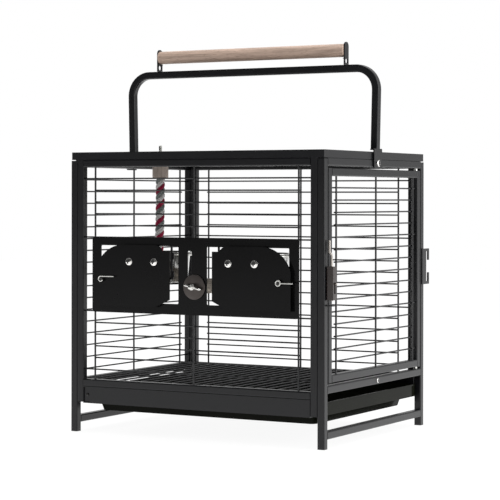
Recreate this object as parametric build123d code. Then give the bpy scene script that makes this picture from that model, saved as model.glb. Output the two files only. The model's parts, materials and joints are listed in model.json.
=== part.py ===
from build123d import *
import math
import os

# Bird travel cage, in millimetres. +Z is up, -Y is the front with the feeders, +X is the side with the door.
# The model is laid out about the middle of the cage, and at the end everything is moved together so that
# the origin lies on the floor under the middle of the whole object.

# Overall sizes
cage_width = 457.0
cage_depth = 356.0
post_height = 432.5
lid_bottom = 434.0
lid_height = 12.0
lid_sheet = 1.2
lid_inset = 0.5

# Square tube that the frames are made of
tube_size = 12.0
tube_wall = 1.0
tube_edge = 2.0
mid_rail_bottom = 82.0
low_rail_bottom = 14.0
front_rail_bottom = 73.0
frame_stile_bottom = 48.0
cap_flange = 1.5
cap_depth = 10.0

# Wire grilles
upright_wire = 3.0
level_wire = 2.4
weld_sink = 0.3
wire_setback = 4.5
wire_pitch = 19.05
wire_count = 17
wire_top = 402.6
front_wire_pitch = 18.6
front_wire_count = 6
front_wire_top = 404.0
end_wire_margin = 21.0
side_wire_margin = 20.0

# Feeder plate on the front grille
plate_x = -0.8
plate_end_gap = 18.1
plate_bottom = 192.5
plate_top = 311.5
plate_sheet = 1.5
plate_corner = 5.0
plate_weld_lap = 8.0
window_inner = 25.5
window_end_margin = 16.8
window_bottom = 209.0
window_top = 298.5
window_corner = 2.0

# Feeder doors, which swing on upright rods at their inner edges
door_gap = 5.5
door_sheet = 1.5
door_inner = 38.2
door_end_margin = 11.4
door_bottom = 203.0
door_shoulder_inset = 50.7
door_shoulder_radius = 53.0
door_corner_inset = 26.5
door_corner_radius = 14.7
door_top = 300.0
door_tab_top = 291.5
door_notch_width = 27.0
door_notch_height = 12.5
hinge_rod_x = 42.7
hinge_rod_setback = 5.0
hinge_rod = 3.6
hinge_fit = 0.06
hinge_rod_bottom = 247.0
hinge_rod_top = 306.0
rod_collar = 6.6
rod_collar_height = 2.0
knuckle = 8.0
knuckle_height = 10.0
knuckle_low = 249.5
knuckle_high = 278.0
knuckle_arm = 4.0

# Cups and the rings that carry them
cup_x = 90.0
cup_setback = 55.0
cup_rim_radius = 47.5
cup_radius = 43.0
cup_base_radius = 38.5
cup_bottom = 237.0
cup_rim_bottom = 286.3
cup_rim_height = 2.2
cup_wall = 0.8
ring_wire = 4.0
ring_radius = 45.6
seat_clearance = 0.3
bracket_width = 60.0
bracket_height = 20.0
bracket_sheet = 1.5
screw_spacing = 46.0
screw_height = 273.8
screw_head = 9.0
screw_head_height = 3.2
screw_washer = 12.0
washer_sheet = 1.0
screw_shank = 4.0

# Turning latches on the feeder doors
latch_pin = 4.0
latch_left_margin = 22.9
latch_right_margin = 30.4
latch_below_screws = 27.8
latch_eye_radius = 3.9
latch_wire = 2.8
latch_handle = 25.0
latch_standoff = 3.4
cam_width = 6.0
cam_sheet = 2.0
cam_end_margin = 7.4

# Perch, held by a bolt, a large washer and a wing nut in the seat beside the foot of an upright slot
perch_x = 3.2
slot_x = -5.9
slot_width = 7.6
slot_bottom = 232.4
slot_top = 293.0
perch_height = 236.2
perch_diameter = 23.0
perch_length = 285.0
perch_bolt = 6.0
perch_bolt_end = 17.0
perch_bolt_sunk = 30.0
perch_washer = 39.0
perch_washer_sheet = 2.0
wing_span = 30.0
wing_hub = 11.0
wing_hub_height = 8.0
wing_sheet = 2.6
wing_rise = 9.0
thread_fit = 0.08

# Rope toy under the lid
toy_x = -134.5
toy_y = -60.0
toy_bolt = 5.5
toy_bolt_rise = 13.0
toy_nut = 9.5
toy_nut_height = 3.2
toy_block = 26.0
toy_block_bottom = 406.0
rope_diameter = 15.0
knot_width = 25.0
knot_height = 26.0
knot_round = 6.0

# Carrying handle
handle_gap = 3.0
handle_top = 584.0
handle_bend = 34.0
handle_side_gap = 0.3
handle_leg_overhang = 0.7
handle_splay = 2.8
tab_sheet = 2.0
tab_half_width = 14.0
tab_bottom = 420.0
pivot_diameter = 6.0
pivot_fit = 0.06
pivot_head = 10.5
pivot_head_height = 2.0
grip_diameter = 21.0
grip_length = 346.5
grip_lift = 23.0
grip_tab_sheet = 2.0
grip_tab_width = 14.0
grip_tab_rise = 13.5
grip_peg = 8.0
grip_peg_length = 12.0
grip_hole_width = 8.0
grip_hole_height = 8.0

# Side door
side_door_front = -164.0
side_door_back = 164.0
side_door_bottom = 97.5
side_door_top = 418.5
side_door_pin = 6.0
side_door_pin_grip = 8.0
side_door_wire_pitch = 18.63
side_door_wire_count = 15
side_door_wire_top = 389.2
side_door_wire_margin = 15.5
side_door_wire_setback = 3.0

# Drop latch on the side door
box_width = 11.0
box_reach = 11.0
box_bottom = 222.0
box_height = 50.0
box_wall = 1.2
box_clearance = 0.8
box_overlap = 8.5
flange_width = 11.0
flange_height = 40.0
flange_sheet = 1.5
bolt_rod = 4.0
bolt_fit = 0.06
bolt_below = 1.5
bolt_straight_top = 288.0
bolt_top = 311.0
bolt_jog = 3.0
bolt_travel = 12.0
thumb_pin = 3.0
thumb_pin_reach = 3.5
thumb_pin_height = 246.0
keeper_height = 215.0
keeper_sheet = 2.0
keeper_width = 12.0

# Belt brackets on the back posts
belt_height = 58.5
belt_centre = 261.3
belt_reach = 16.5
belt_foot = 15.0
belt_overlap = 10.0
belt_sheet = 2.0
belt_bar = 4.5
belt_lip = 19.0

# Tray, its covers and the floor grate
cover_sheet = 1.5
cover_ledge_depth = 21.0
cover_bottom = 46.5
cover_tab_width = 13.0
cover_tab_step = 3.0
grate_ledge = 79.0
grate_ledge_depth = 8.0
tray_wall = 1.6
tray_skirt_height = 20.0
tray_pan_bottom = 33.5
tray_end_gap = 1.5
tray_side_gap = 3.0
tray_pan_inset_x = 19.0
tray_pan_inset_y = 9.0
tray_pan_corner = 8.0
tray_out = 5.0
tray_draft = 4.0
tray_rim = 1.4
tray_rim_height = 2.2
grate_rod = 2.6
grate_bar = 4.0
grate_pitch = 19.05
grate_count = 22
grate_bar_count = 4
grate_end_gap = 1.2

# Screws that show on the frame
frame_screw = 3.0
frame_screw_head_height = 2.0
cover_screw_head = 5.0
rail_screw_head = 7.5
frame_screw_length = 8.0
rail_screw_y = 3.4

# Places that follow from the sizes above
half_width = cage_width / 2
half_depth = cage_depth / 2
inner_x = half_width - tube_size
inner_y = half_depth - tube_size
stile_inner_x = inner_x - tube_size
rail_top = lid_bottom
rail_bottom = rail_top - tube_size
front_rail_top = front_rail_bottom + tube_size
mid_rail_top = mid_rail_bottom + tube_size
front_level_y = -half_depth + wire_setback + level_wire / 2
level_offset = (upright_wire + level_wire) / 2 - weld_sink
front_upright_y = front_level_y - level_offset
plate_back_y = front_upright_y - upright_wire / 2
plate_front_y = plate_back_y - plate_sheet
feeder_door_back_y = plate_front_y - door_gap
feeder_door_front_y = feeder_door_back_y - door_sheet
hinge_rod_y = plate_back_y + hinge_rod_setback
cup_y = plate_back_y + cup_setback
lid_top = lid_bottom + lid_height
pivot_z = rail_top - tube_size / 2
tab_outer_x = half_width + handle_side_gap + tab_sheet
leg_x = tab_outer_x + handle_leg_overhang - tube_size / 2
grip_height = handle_top + grip_lift
grip_tab_top = grip_height + grip_tab_rise
plate_half_width = stile_inner_x - plate_end_gap
window_outer = plate_half_width - window_end_margin
door_outer = plate_half_width - door_end_margin
latch_left_x = latch_left_margin - plate_half_width
latch_right_x = plate_half_width - latch_right_margin
latch_height = screw_height - latch_below_screws
cam_reach_x = plate_half_width - cam_end_margin
side_door_hinge_y = side_door_back - tube_size / 2


def block(x0, x1, y0, y1, z0, z1):
    """Box between two corners."""
    size = Box(abs(x1 - x0), abs(y1 - y0), abs(z1 - z0))
    return Pos((x0 + x1) / 2, (y0 + y1) / 2, (z0 + z1) / 2) * size


def rod(start, end, diameter):
    """Round bar from one point to another."""
    a, b = Vector(*start), Vector(*end)
    return extrude(Plane(origin=a, z_dir=b - a) * Circle(diameter / 2), (b - a).length)


def tube_bore():
    """Outline of the tube's inside, which plugs fill."""
    inner = tube_size - 2 * tube_wall
    return RectangleRounded(inner, inner, tube_edge - tube_wall)


def tube_ring():
    """Cross section of the square tube."""
    return RectangleRounded(tube_size, tube_size, tube_edge) - tube_bore()


def square_tube(start, end, across=(1, 0, 0)):
    """Hollow square tube with rounded edges whose centre line runs between two points."""
    a, b = Vector(*start), Vector(*end)
    return extrude(Plane(origin=a, x_dir=across, z_dir=b - a) * tube_ring(), (b - a).length)


def fuse(pieces):
    """One solid from pieces that touch."""
    whole = pieces[0]
    for piece in pieces[1:]:
        whole = whole + piece
    return whole


def mirror_x(piece):
    return mirror(piece, Plane.YZ)


def mirror_y(piece):
    return mirror(piece, Plane.XZ)


nodes = {}


def corner_posts():
    """Four corner posts, which stand on plastic caps pushed into their lower ends."""
    post_x = half_width - tube_size / 2
    post_y = half_depth - tube_size / 2
    caps = []
    for side, sx in (("left", -1), ("right", 1)):
        for end, sy in (("front", -1), ("back", 1)):
            x, y = sx * post_x, sy * post_y
            nodes[f"post_{end}_{side}"] = square_tube((x, y, cap_flange), (x, y, post_height))
            flange = extrude(Pos(x, y) * RectangleRounded(tube_size, tube_size, tube_edge), cap_flange)
            plug = extrude(Pos(x, y) * tube_bore(), cap_flange + cap_depth)
            caps.append(flange + plug)
    nodes["foot_caps"] = Compound(caps)


def side_rails():
    """Three rails a side between the posts. The right mid and top rails hold the side door's pins.

    The left middle rail lies as low as the front frame's bottom rail, and the right one lets the tray pass.
    """
    for side, sx, middle_bottom in (("left", -1, front_rail_bottom), ("right", 1, mid_rail_bottom)):
        x = sx * (half_width - tube_size / 2)
        for level, bottom in (("top", rail_bottom), ("middle", middle_bottom), ("lower", low_rail_bottom)):
            z = bottom + tube_size / 2
            rail = square_tube((x, -inner_y, z), (x, inner_y, z))
            if level == "top":
                rail = rail - rod((x, 0, z), (x + sx * tube_size, 0, z), pivot_diameter)
            if side == "right" and level != "lower":
                hole = side_door_pin + 2 * hinge_fit
                wall_z = mid_rail_top - tube_wall if level == "middle" else rail_bottom
                rail = rail - rod((x, side_door_hinge_y, wall_z), (x, side_door_hinge_y, wall_z + tube_wall), hole)
            if side == "right" and level == "middle":
                rail = rail - rod((x, rail_screw_y, z), (x + tube_size, rail_screw_y, z), frame_screw)
            nodes[f"side_rail_{level}_{side}"] = rail


def front_frame():
    """Front frame: two stiles beside the posts, a top rail and a bottom rail between them."""
    y = -half_depth + tube_size / 2
    for side, sx in (("left", -1), ("right", 1)):
        x = sx * (inner_x - tube_size / 2)
        nodes[f"front_frame_stile_{side}"] = square_tube((x, y, frame_stile_bottom), (x, y, rail_top))
    for name, bottom in (("top", rail_bottom), ("bottom", front_rail_bottom)):
        z = bottom + tube_size / 2
        nodes[f"front_frame_{name}_rail"] = square_tube(
            (-stile_inner_x, y, z), (stile_inner_x, y, z), across=(0, 1, 0)
        )


def back_frame():
    """Back frame, the same tubes as the front one, welded up."""
    y = half_depth - tube_size / 2
    tubes = []
    for sx in (-1, 1):
        x = sx * (inner_x - tube_size / 2)
        tubes.append(square_tube((x, y, frame_stile_bottom), (x, y, rail_top)))
    for bottom in (rail_bottom, front_rail_bottom):
        z = bottom + tube_size / 2
        tubes.append(square_tube((-stile_inner_x, y, z), (stile_inner_x, y, z), across=(0, 1, 0)))
    nodes["back_frame"] = Compound(tubes)


def grille(uprights, levels, upright_y, level_y, bottom, top, end_half, long_half, long_levels):
    """Welded grille in an XZ plane. Some levels run on to the frame, the rest stop at the end uprights."""
    wires = [rod((x, upright_y, bottom), (x, upright_y, top), upright_wire) for x in uprights]
    for z in levels:
        half = long_half if z in long_levels else end_half
        wires.append(rod((-half, level_y, z), (half, level_y, z), level_wire))
    return fuse(wires)


def front_grilles():
    """Grilles above and below the feeder plate."""
    end_x = stile_inner_x - end_wire_margin
    uprights = (-end_x, 0, end_x)
    end_half = end_x + upright_wire / 2
    upper = [front_wire_top - k * front_wire_pitch for k in range(front_wire_count)]
    nodes["front_grille_upper"] = grille(
        uprights, upper, front_upright_y, front_level_y,
        plate_top - plate_weld_lap, rail_bottom, end_half, stile_inner_x, (upper[0], upper[-1]),
    )
    lower_top = plate_bottom + level_wire / 2
    lower = [lower_top - k * front_wire_pitch for k in range(front_wire_count)]
    nodes["front_grille_lower"] = grille(
        uprights, lower, front_upright_y, front_level_y,
        front_rail_top, plate_bottom + plate_weld_lap, end_half, stile_inner_x, (lower[0], lower[-1]),
    )


def back_and_left_grilles():
    """Full-height grilles at the back and on the left side."""
    levels = [wire_top - k * wire_pitch for k in range(wire_count)]
    long_levels = (levels[0], levels[wire_count // 3], levels[2 * wire_count // 3], levels[-1])
    end_x = stile_inner_x - end_wire_margin
    back = grille(
        (-end_x, 0, end_x), levels, front_upright_y, front_level_y,
        front_rail_top, rail_bottom, end_x + upright_wire / 2, stile_inner_x, long_levels,
    )
    nodes["back_grille"] = mirror_y(back)
    setback = half_width - half_depth
    end_y = inner_y - side_wire_margin
    side = grille(
        (-end_y, 0, end_y), levels, front_upright_y - setback, front_level_y - setback,
        front_rail_top, rail_bottom, end_y + upright_wire / 2, inner_y, long_levels,
    )
    nodes["left_grille"] = Rot(0, 0, -90) * side


def lid():
    """Folded sheet lid that rests on the top rails."""
    x, y = half_width - lid_inset, half_depth - lid_inset
    shell = block(-x, x, -y, y, lid_bottom, lid_top)
    shell = fillet(shell.edges().filter_by(Axis.Z), tube_edge)
    hollow = block(
        -x + lid_sheet, x - lid_sheet, -y + lid_sheet, y - lid_sheet, lid_bottom, lid_top - lid_sheet
    )
    shell = shell - hollow
    hole = rod((toy_x, toy_y, lid_bottom), (toy_x, toy_y, lid_top), toy_bolt)
    nodes["lid"] = shell - hole


def feeder_plate():
    """Plate welded to the front grille, with two windows and an upright slot with a seat for the perch."""
    height = plate_top - plate_bottom
    sheet = Pos(plate_x, (plate_top + plate_bottom) / 2) * RectangleRounded(
        2 * plate_half_width, height, plate_corner
    )
    window_width = window_outer - window_inner
    window_height = window_top - window_bottom
    for sx in (-1, 1):
        place = Pos(plate_x + sx * (window_inner + window_outer) / 2, (window_top + window_bottom) / 2)
        sheet = sheet - place * RectangleRounded(window_width, window_height, window_corner)
    slot_length = slot_top - slot_bottom
    slot = Rot(0, 0, 90) * SlotOverall(slot_length, slot_width)
    sheet = sheet - Pos(slot_x, (slot_top + slot_bottom) / 2) * slot
    seat = SlotCenterToCenter(perch_x - slot_x, slot_width)
    sheet = sheet - Pos((perch_x + slot_x) / 2, perch_height) * seat
    nodes["feeder_plate"] = extrude(Plane(origin=(0, plate_back_y, 0), x_dir=(1, 0, 0), z_dir=(0, -1, 0))
                                    * sheet, plate_sheet)


def feeder_hinge_rods():
    """Upright rods behind the plate that the feeder doors swing on, each with a lug and a collar."""
    pieces = []
    for sx in (-1, 1):
        x = sx * hinge_rod_x
        lug_bottom = window_top + seat_clearance
        pin = rod((x, hinge_rod_y, hinge_rod_bottom), (x, hinge_rod_y, hinge_rod_top), hinge_rod)
        collar = rod((x, hinge_rod_y, hinge_rod_bottom),
                     (x, hinge_rod_y, hinge_rod_bottom + rod_collar_height), rod_collar)
        lug = block(x - hinge_rod / 2, x + hinge_rod / 2, plate_back_y, hinge_rod_y,
                    lug_bottom, hinge_rod_top)
        pieces.append(pin + collar + lug)
    nodes["feeder_hinge_rods"] = Compound(pieces)


def feeder_door_outline():
    """Outline of the right feeder door: wide shoulder, tight inner corner, hinge tab, cut lower corner."""
    shoulder_x, shoulder_z = door_outer - door_shoulder_inset, door_top - door_shoulder_radius
    outer_z = shoulder_z + math.sqrt(door_shoulder_radius**2 - door_shoulder_inset**2)
    middle = (math.atan2(outer_z - shoulder_z, door_shoulder_inset) + math.pi / 2) / 2
    on_shoulder = (shoulder_x + door_shoulder_radius * math.cos(middle),
                   shoulder_z + door_shoulder_radius * math.sin(middle))
    corner_x, corner_z = door_inner + door_corner_inset, door_top - door_corner_radius
    tab_x = corner_x - math.sqrt(door_corner_radius**2 - (door_tab_top - corner_z)**2)
    middle = (math.atan2(door_tab_top - corner_z, tab_x - corner_x) + math.pi / 2) / 2
    on_corner = (corner_x + door_corner_radius * math.cos(middle),
                 corner_z + door_corner_radius * math.sin(middle))
    edges = [
        Line((door_inner + door_notch_width, door_bottom), (door_outer, door_bottom)),
        Line((door_outer, door_bottom), (door_outer, outer_z)),
        ThreePointArc((door_outer, outer_z), on_shoulder, (shoulder_x, door_top)),
        Line((shoulder_x, door_top), (corner_x, door_top)),
        ThreePointArc((corner_x, door_top), on_corner, (tab_x, door_tab_top)),
        Line((tab_x, door_tab_top), (door_inner, door_tab_top)),
        Line((door_inner, door_tab_top), (door_inner, door_bottom + door_notch_height)),
        Line((door_inner, door_bottom + door_notch_height),
             (door_inner + door_notch_width, door_bottom)),
    ]
    return make_face(Wire(edges))


def latch_hole(x):
    return rod((x, feeder_door_back_y + 1, latch_height), (x, feeder_door_front_y - 1, latch_height),
               latch_pin + 2 * hinge_fit)


def feeder_door(sx, latch_x):
    """Feeder door with two knuckles on arms that reach back to the hinge rod."""
    face = Plane(origin=(0, feeder_door_back_y, 0), x_dir=(1, 0, 0), z_dir=(0, -1, 0))
    sheet = extrude(face * feeder_door_outline(), door_sheet)
    pieces = [sheet]
    for bottom in (knuckle_low, knuckle_high):
        top = bottom + knuckle_height
        barrel = rod((hinge_rod_x, hinge_rod_y, bottom), (hinge_rod_x, hinge_rod_y, top), knuckle)
        arm = block(hinge_rod_x - knuckle_arm / 2, hinge_rod_x + knuckle_arm / 2,
                    feeder_door_back_y, hinge_rod_y, bottom, top)
        bore = rod((hinge_rod_x, hinge_rod_y, bottom), (hinge_rod_x, hinge_rod_y, top),
                   hinge_rod + 2 * hinge_fit)
        pieces.append((barrel + arm) - bore)
    door = fuse(pieces)
    for x in (cup_x - screw_spacing / 2, cup_x + screw_spacing / 2):
        door = door - rod((x, feeder_door_back_y, screw_height),
                          (x, feeder_door_front_y, screw_height), screw_shank)
    if sx < 0:
        door = mirror_x(door)
    return door - latch_hole(latch_x)


def cup_ring():
    """Ring of wire that carries the cup, with the strip that is screwed to the door."""
    z = cup_rim_bottom - seat_clearance - ring_wire / 2
    ring = Pos(cup_x, cup_y, z) * Torus(ring_radius, ring_wire / 2)
    strip_front = feeder_door_back_y
    strip = block(cup_x - bracket_width / 2, cup_x + bracket_width / 2,
                  strip_front, strip_front + bracket_sheet,
                  screw_height - bracket_height / 2, screw_height + bracket_height / 2)
    arms = []
    for dx in (-screw_spacing / 4, screw_spacing / 4):
        ring_y = cup_y - math.sqrt(ring_radius**2 - dx**2)
        arms.append(block(cup_x + dx - ring_wire / 2, cup_x + dx + ring_wire / 2,
                          strip_front, ring_y, z - ring_wire / 2, z + ring_wire / 2))
    body = fuse([strip] + arms + [ring])
    top_edge = screw_height + bracket_height / 2
    riser = block(cup_x - screw_spacing / 4 - ring_wire / 2, cup_x + screw_spacing / 4 + ring_wire / 2,
                  strip_front, strip_front + bracket_sheet, top_edge - ring_wire, z + ring_wire / 2)
    body = body + riser
    for x in (cup_x - screw_spacing / 2, cup_x + screw_spacing / 2):
        body = body - rod((x, strip_front, screw_height),
                          (x, strip_front + bracket_sheet, screw_height), screw_shank)
    return body


def cup():
    """Stainless cup with a flat rim that hangs in the ring."""
    rim_top = cup_rim_bottom + cup_rim_height
    outside = [
        (0, cup_bottom), (cup_base_radius, cup_bottom), (cup_radius, cup_rim_bottom),
        (cup_rim_radius, cup_rim_bottom), (cup_rim_radius, rim_top),
        (cup_radius - cup_wall, rim_top), (cup_base_radius - cup_wall, cup_bottom + cup_wall),
        (0, cup_bottom + cup_wall),
    ]
    points = [(r, z) for r, z in outside]
    profile = Plane.XZ * make_face(Wire([Line(a, b) for a, b in zip(points, points[1:] + points[:1])]))
    return Pos(cup_x, cup_y, 0) * revolve(profile, Axis.Z)


def feeder_screws():
    """Two screws with washers that hold the ring's strip to the door."""
    screws = []
    for x in (cup_x - screw_spacing / 2, cup_x + screw_spacing / 2):
        front = feeder_door_front_y
        back = feeder_door_back_y + bracket_sheet
        washer = rod((x, front, screw_height), (x, front - washer_sheet, screw_height), screw_washer)
        head_end = front - washer_sheet - screw_head_height
        head = rod((x, front - washer_sheet, screw_height), (x, head_end, screw_height), screw_head)
        head = fillet(head.edges().group_by(Axis.Y)[0], screw_head_height / 3)
        shank = rod((x, front, screw_height), (x, back, screw_height), screw_shank)
        nut = rod((x, back, screw_height), (x, back + screw_head_height, screw_height), toy_nut)
        screws.append(washer + head + shank + nut)
    return Compound(screws)


def feeder_latch(x, rod_lift):
    """Turning latch: an eye with a wire handle in front, a pin through the door, a cam behind the plate."""
    eye_y = feeder_door_front_y - latch_standoff - latch_wire / 2
    cam_front = plate_back_y + seat_clearance
    pin = rod((x, eye_y, latch_height), (x, cam_front + cam_sheet, latch_height), latch_pin)
    eye = Pos(x, eye_y, latch_height) * Rot(90, 0, 0) * Torus(latch_eye_radius, latch_wire / 2)
    disc = rod((x, eye_y - latch_wire / 4, latch_height), (x, eye_y + latch_wire / 4, latch_height),
               2 * latch_eye_radius)
    handle_z = latch_height + rod_lift
    start = x if rod_lift else x + latch_eye_radius
    handle = rod((start, eye_y, handle_z), (x + latch_handle, eye_y, handle_z), latch_wire - 0.2)
    reach = cam_reach_x - abs(x)
    cam = block(x - cam_width / 2, x + cam_width / 2, cam_front, cam_front + cam_sheet,
                latch_height - reach, latch_height + cam_width / 2)
    return fuse([pin, disc, eye, handle, cam])


def feeders():
    for side, sx, latch_x, lift in (("left", -1, latch_left_x, latch_eye_radius),
                                    ("right", 1, latch_right_x, 0.0)):
        nodes[f"feeder_door_{side}"] = feeder_door(sx, latch_x)
        for name, piece in (("cup_ring", cup_ring()), ("feeder_cup", cup()),
                            ("feeder_screws", feeder_screws())):
            nodes[f"{name}_{side}"] = mirror_x(piece) if sx < 0 else piece
        nodes[f"feeder_latch_{side}"] = feeder_latch(latch_x, lift)


def perch():
    """Wooden perch, its bolt, a large washer in front of the plate and the wing nut."""
    x, z = perch_x, perch_height
    start = plate_back_y + seat_clearance
    bolt_front = plate_front_y - perch_bolt_end
    bolt_back = start + perch_bolt_sunk
    nodes["perch_bolt"] = rod((x, bolt_front, z), (x, bolt_back, z), perch_bolt)
    dowel = rod((x, start, z), (x, start + perch_length, z), perch_diameter)
    dowel = dowel - rod((x, start, z), (x, bolt_back, z), perch_bolt)
    nodes["perch"] = dowel
    washer_back = plate_front_y - seat_clearance
    washer_front = washer_back - perch_washer_sheet
    washer = rod((x, washer_front, z), (x, washer_back, z), perch_washer)
    nodes["perch_washer"] = washer - rod((x, washer_front, z), (x, washer_back, z), perch_bolt)
    hub_back = washer_front - seat_clearance
    hub_front = hub_back - wing_hub_height
    hub = rod((x, hub_back, z), (x, hub_front, z), wing_hub)
    wings = []
    for sx in (-1, 1):
        outline = Plane(origin=(x, 0, z - wing_sheet / 2)) * make_face(Polyline(
            (0, hub_back - 1), (sx * wing_hub / 2, hub_back - 1), (sx * wing_span / 2, hub_front - wing_rise / 3),
            (sx * (wing_span / 2 - 4), hub_front - wing_rise / 2), (sx * wing_hub / 2, hub_front + 2),
            (0, hub_front + 2), close=True))
        wings.append(extrude(outline, wing_sheet))
    nut = fuse([hub] + wings)
    bore = rod((x, hub_back, z), (x, hub_front, z), perch_bolt + 2 * thread_fit)
    nodes["wing_nut"] = nut - bore


rope_route = [
    (toy_x, toy_y, toy_block_bottom - seat_clearance),
    (toy_x - 0.3, toy_y + 0.2, 372.0),
    (toy_x - 1.1, toy_y + 0.5, 336.0),
    (toy_x - 2.4, toy_y + 0.7, 300.0),
    (toy_x - 4.2, toy_y + 0.6, 264.0),
]


def rope_tube(points, diameter):
    """Tube along straight runs joined by arcs, each as large as its two runs allow."""
    radii = []
    for before, here, after in zip(points, points[1:], points[2:]):
        run_in, run_out = Vector(*here) - Vector(*before), Vector(*after) - Vector(*here)
        half_turn = math.radians(run_in.get_angle(run_out)) / 2
        radii.append(0.45 * min(run_in.length, run_out.length) / math.tan(half_turn))
    path = FilletPolyline(*points, radius=radii)
    print("rope arcs", [round(radius) for radius in radii], "length", round(path.length, 1))
    section = Plane(origin=path @ 0, z_dir=path % 0) * Circle(diameter / 2)
    tube = sweep(section, path)
    print("rope volume share", round(tube.volume / (math.pi * diameter**2 / 4 * path.length), 4))
    return tube


def toy():
    """Hanging toy: a bolt through the lid, a nut, a wooden block and a rope with a knot."""
    x, y = toy_x, toy_y
    ceiling = lid_top - lid_sheet
    nodes["toy_bolt"] = rod((x, y, toy_block_bottom + toy_nut), (x, y, lid_top + toy_bolt_rise), toy_bolt)
    nut = extrude(Pos(x, y, lid_top) * RegularPolygon(toy_nut / 2, 6), toy_nut_height)
    nodes["toy_nut"] = nut - rod((x, y, lid_top), (x, y, lid_top + toy_nut_height), toy_bolt)
    body = rod((x, y, toy_block_bottom), (x, y, ceiling), toy_block)
    nodes["toy_block"] = body - rod((x, y, toy_block_bottom + toy_nut), (x, y, ceiling), toy_bolt)
    nodes["toy_rope"] = rope_tube(rope_route, rope_diameter)
    end = Vector(*rope_route[-1])
    run = (end - Vector(*rope_route[-2])).normalized()
    knot = extrude(Plane(origin=end, z_dir=run) * Circle(knot_width / 2), knot_height)
    nodes["toy_knot"] = fillet(knot.edges(), knot_round)


def handle():
    """Bent square tube on two tabs that turn on a screw at each side, with a wooden grip above it."""
    leg_bottom = lid_top + handle_gap + tab_sheet
    bar_z = handle_top - tube_size / 2
    bar_x = leg_x + handle_splay
    corners = [(-leg_x, 0, leg_bottom), (-bar_x, 0, bar_z), (bar_x, 0, bar_z), (leg_x, 0, leg_bottom)]
    path = FilletPolyline(*corners, radius=handle_bend)
    start = Plane(origin=path @ 0, x_dir=(0, 1, 0), z_dir=path % 0)
    tube = sweep(start * tube_ring(), path)
    below = leg_bottom - tube_size
    level_cut = block(-bar_x - tube_size, bar_x + tube_size, -tube_size, tube_size, below, leg_bottom)
    nodes["handle_tube"] = tube - level_cut
    tabs, screws, grip_tabs = [], [], []
    inside = half_width + handle_side_gap
    for sx in (-1, 1):
        upright = block(sx * inside, sx * tab_outer_x, -tab_half_width, tab_half_width, tab_bottom, leg_bottom)
        upright = fillet(upright.edges().filter_by(Axis.X), tab_sheet)
        shelf = block(sx * (leg_x - tube_size / 2), sx * tab_outer_x, -tube_size / 2, tube_size / 2,
                      leg_bottom - tab_sheet, leg_bottom)
        tab = upright + shelf
        tab = tab - rod((sx * inside, 0, pivot_z), (sx * tab_outer_x, 0, pivot_z),
                        pivot_diameter + 2 * pivot_fit)
        tabs.append(tab)
        head_in = tab_outer_x + seat_clearance
        head = rod((sx * head_in, 0, pivot_z), (sx * (head_in + pivot_head_height), 0, pivot_z), pivot_head)
        rim = head.edges().group_by(Axis.X)[0 if sx < 0 else -1]
        head = fillet(rim, pivot_head_height / 3)
        shank = rod((sx * (half_width - tube_wall), 0, pivot_z), (sx * head_in, 0, pivot_z), pivot_diameter)
        screws.append(head + shank)
        near = sx * grip_length / 2
        far = sx * (grip_length / 2 + grip_tab_sheet)
        crown = grip_tab_top - grip_tab_width / 2
        plate = block(near, far, -grip_tab_width / 2, grip_tab_width / 2, handle_top, crown)
        plate = plate + rod((near, 0, crown), (far, 0, crown), grip_tab_width)
        hole_z = (handle_top + grip_height - grip_diameter / 2) / 2
        hole = Plane(origin=(near, 0, hole_z), x_dir=(0, 1, 0), z_dir=(sx, 0, 0)) * RectangleRounded(
            grip_hole_width, grip_hole_height, grip_hole_width / 2.2)
        plate = plate - extrude(hole, grip_tab_sheet)
        peg = rod((near, 0, grip_height), (near - sx * grip_peg_length, 0, grip_height), grip_peg)
        tongue_z = grip_height - grip_diameter / 2 - 1.5
        tongue = block(near, near - sx * 4, -2, 2, tongue_z - 1, tongue_z)
        lip = block(near, far, -2, 2, tongue_z - 1, tongue_z + 1)
        grip_tabs.append(plate + peg + tongue + lip)
    nodes["handle_tabs"] = Compound(tabs)
    nodes["handle_screws"] = Compound(screws)
    nodes["grip_tabs"] = Compound(grip_tabs)
    half = grip_length / 2
    grip = rod((-half, 0, grip_height), (half, 0, grip_height), grip_diameter)
    grip = fillet(grip.edges(), 1.2)
    for sx in (-1, 1):
        grip = grip - rod((sx * half, 0, grip_height), (sx * (half - grip_peg_length), 0, grip_height), grip_peg)
    nodes["handle_grip"] = grip


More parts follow.
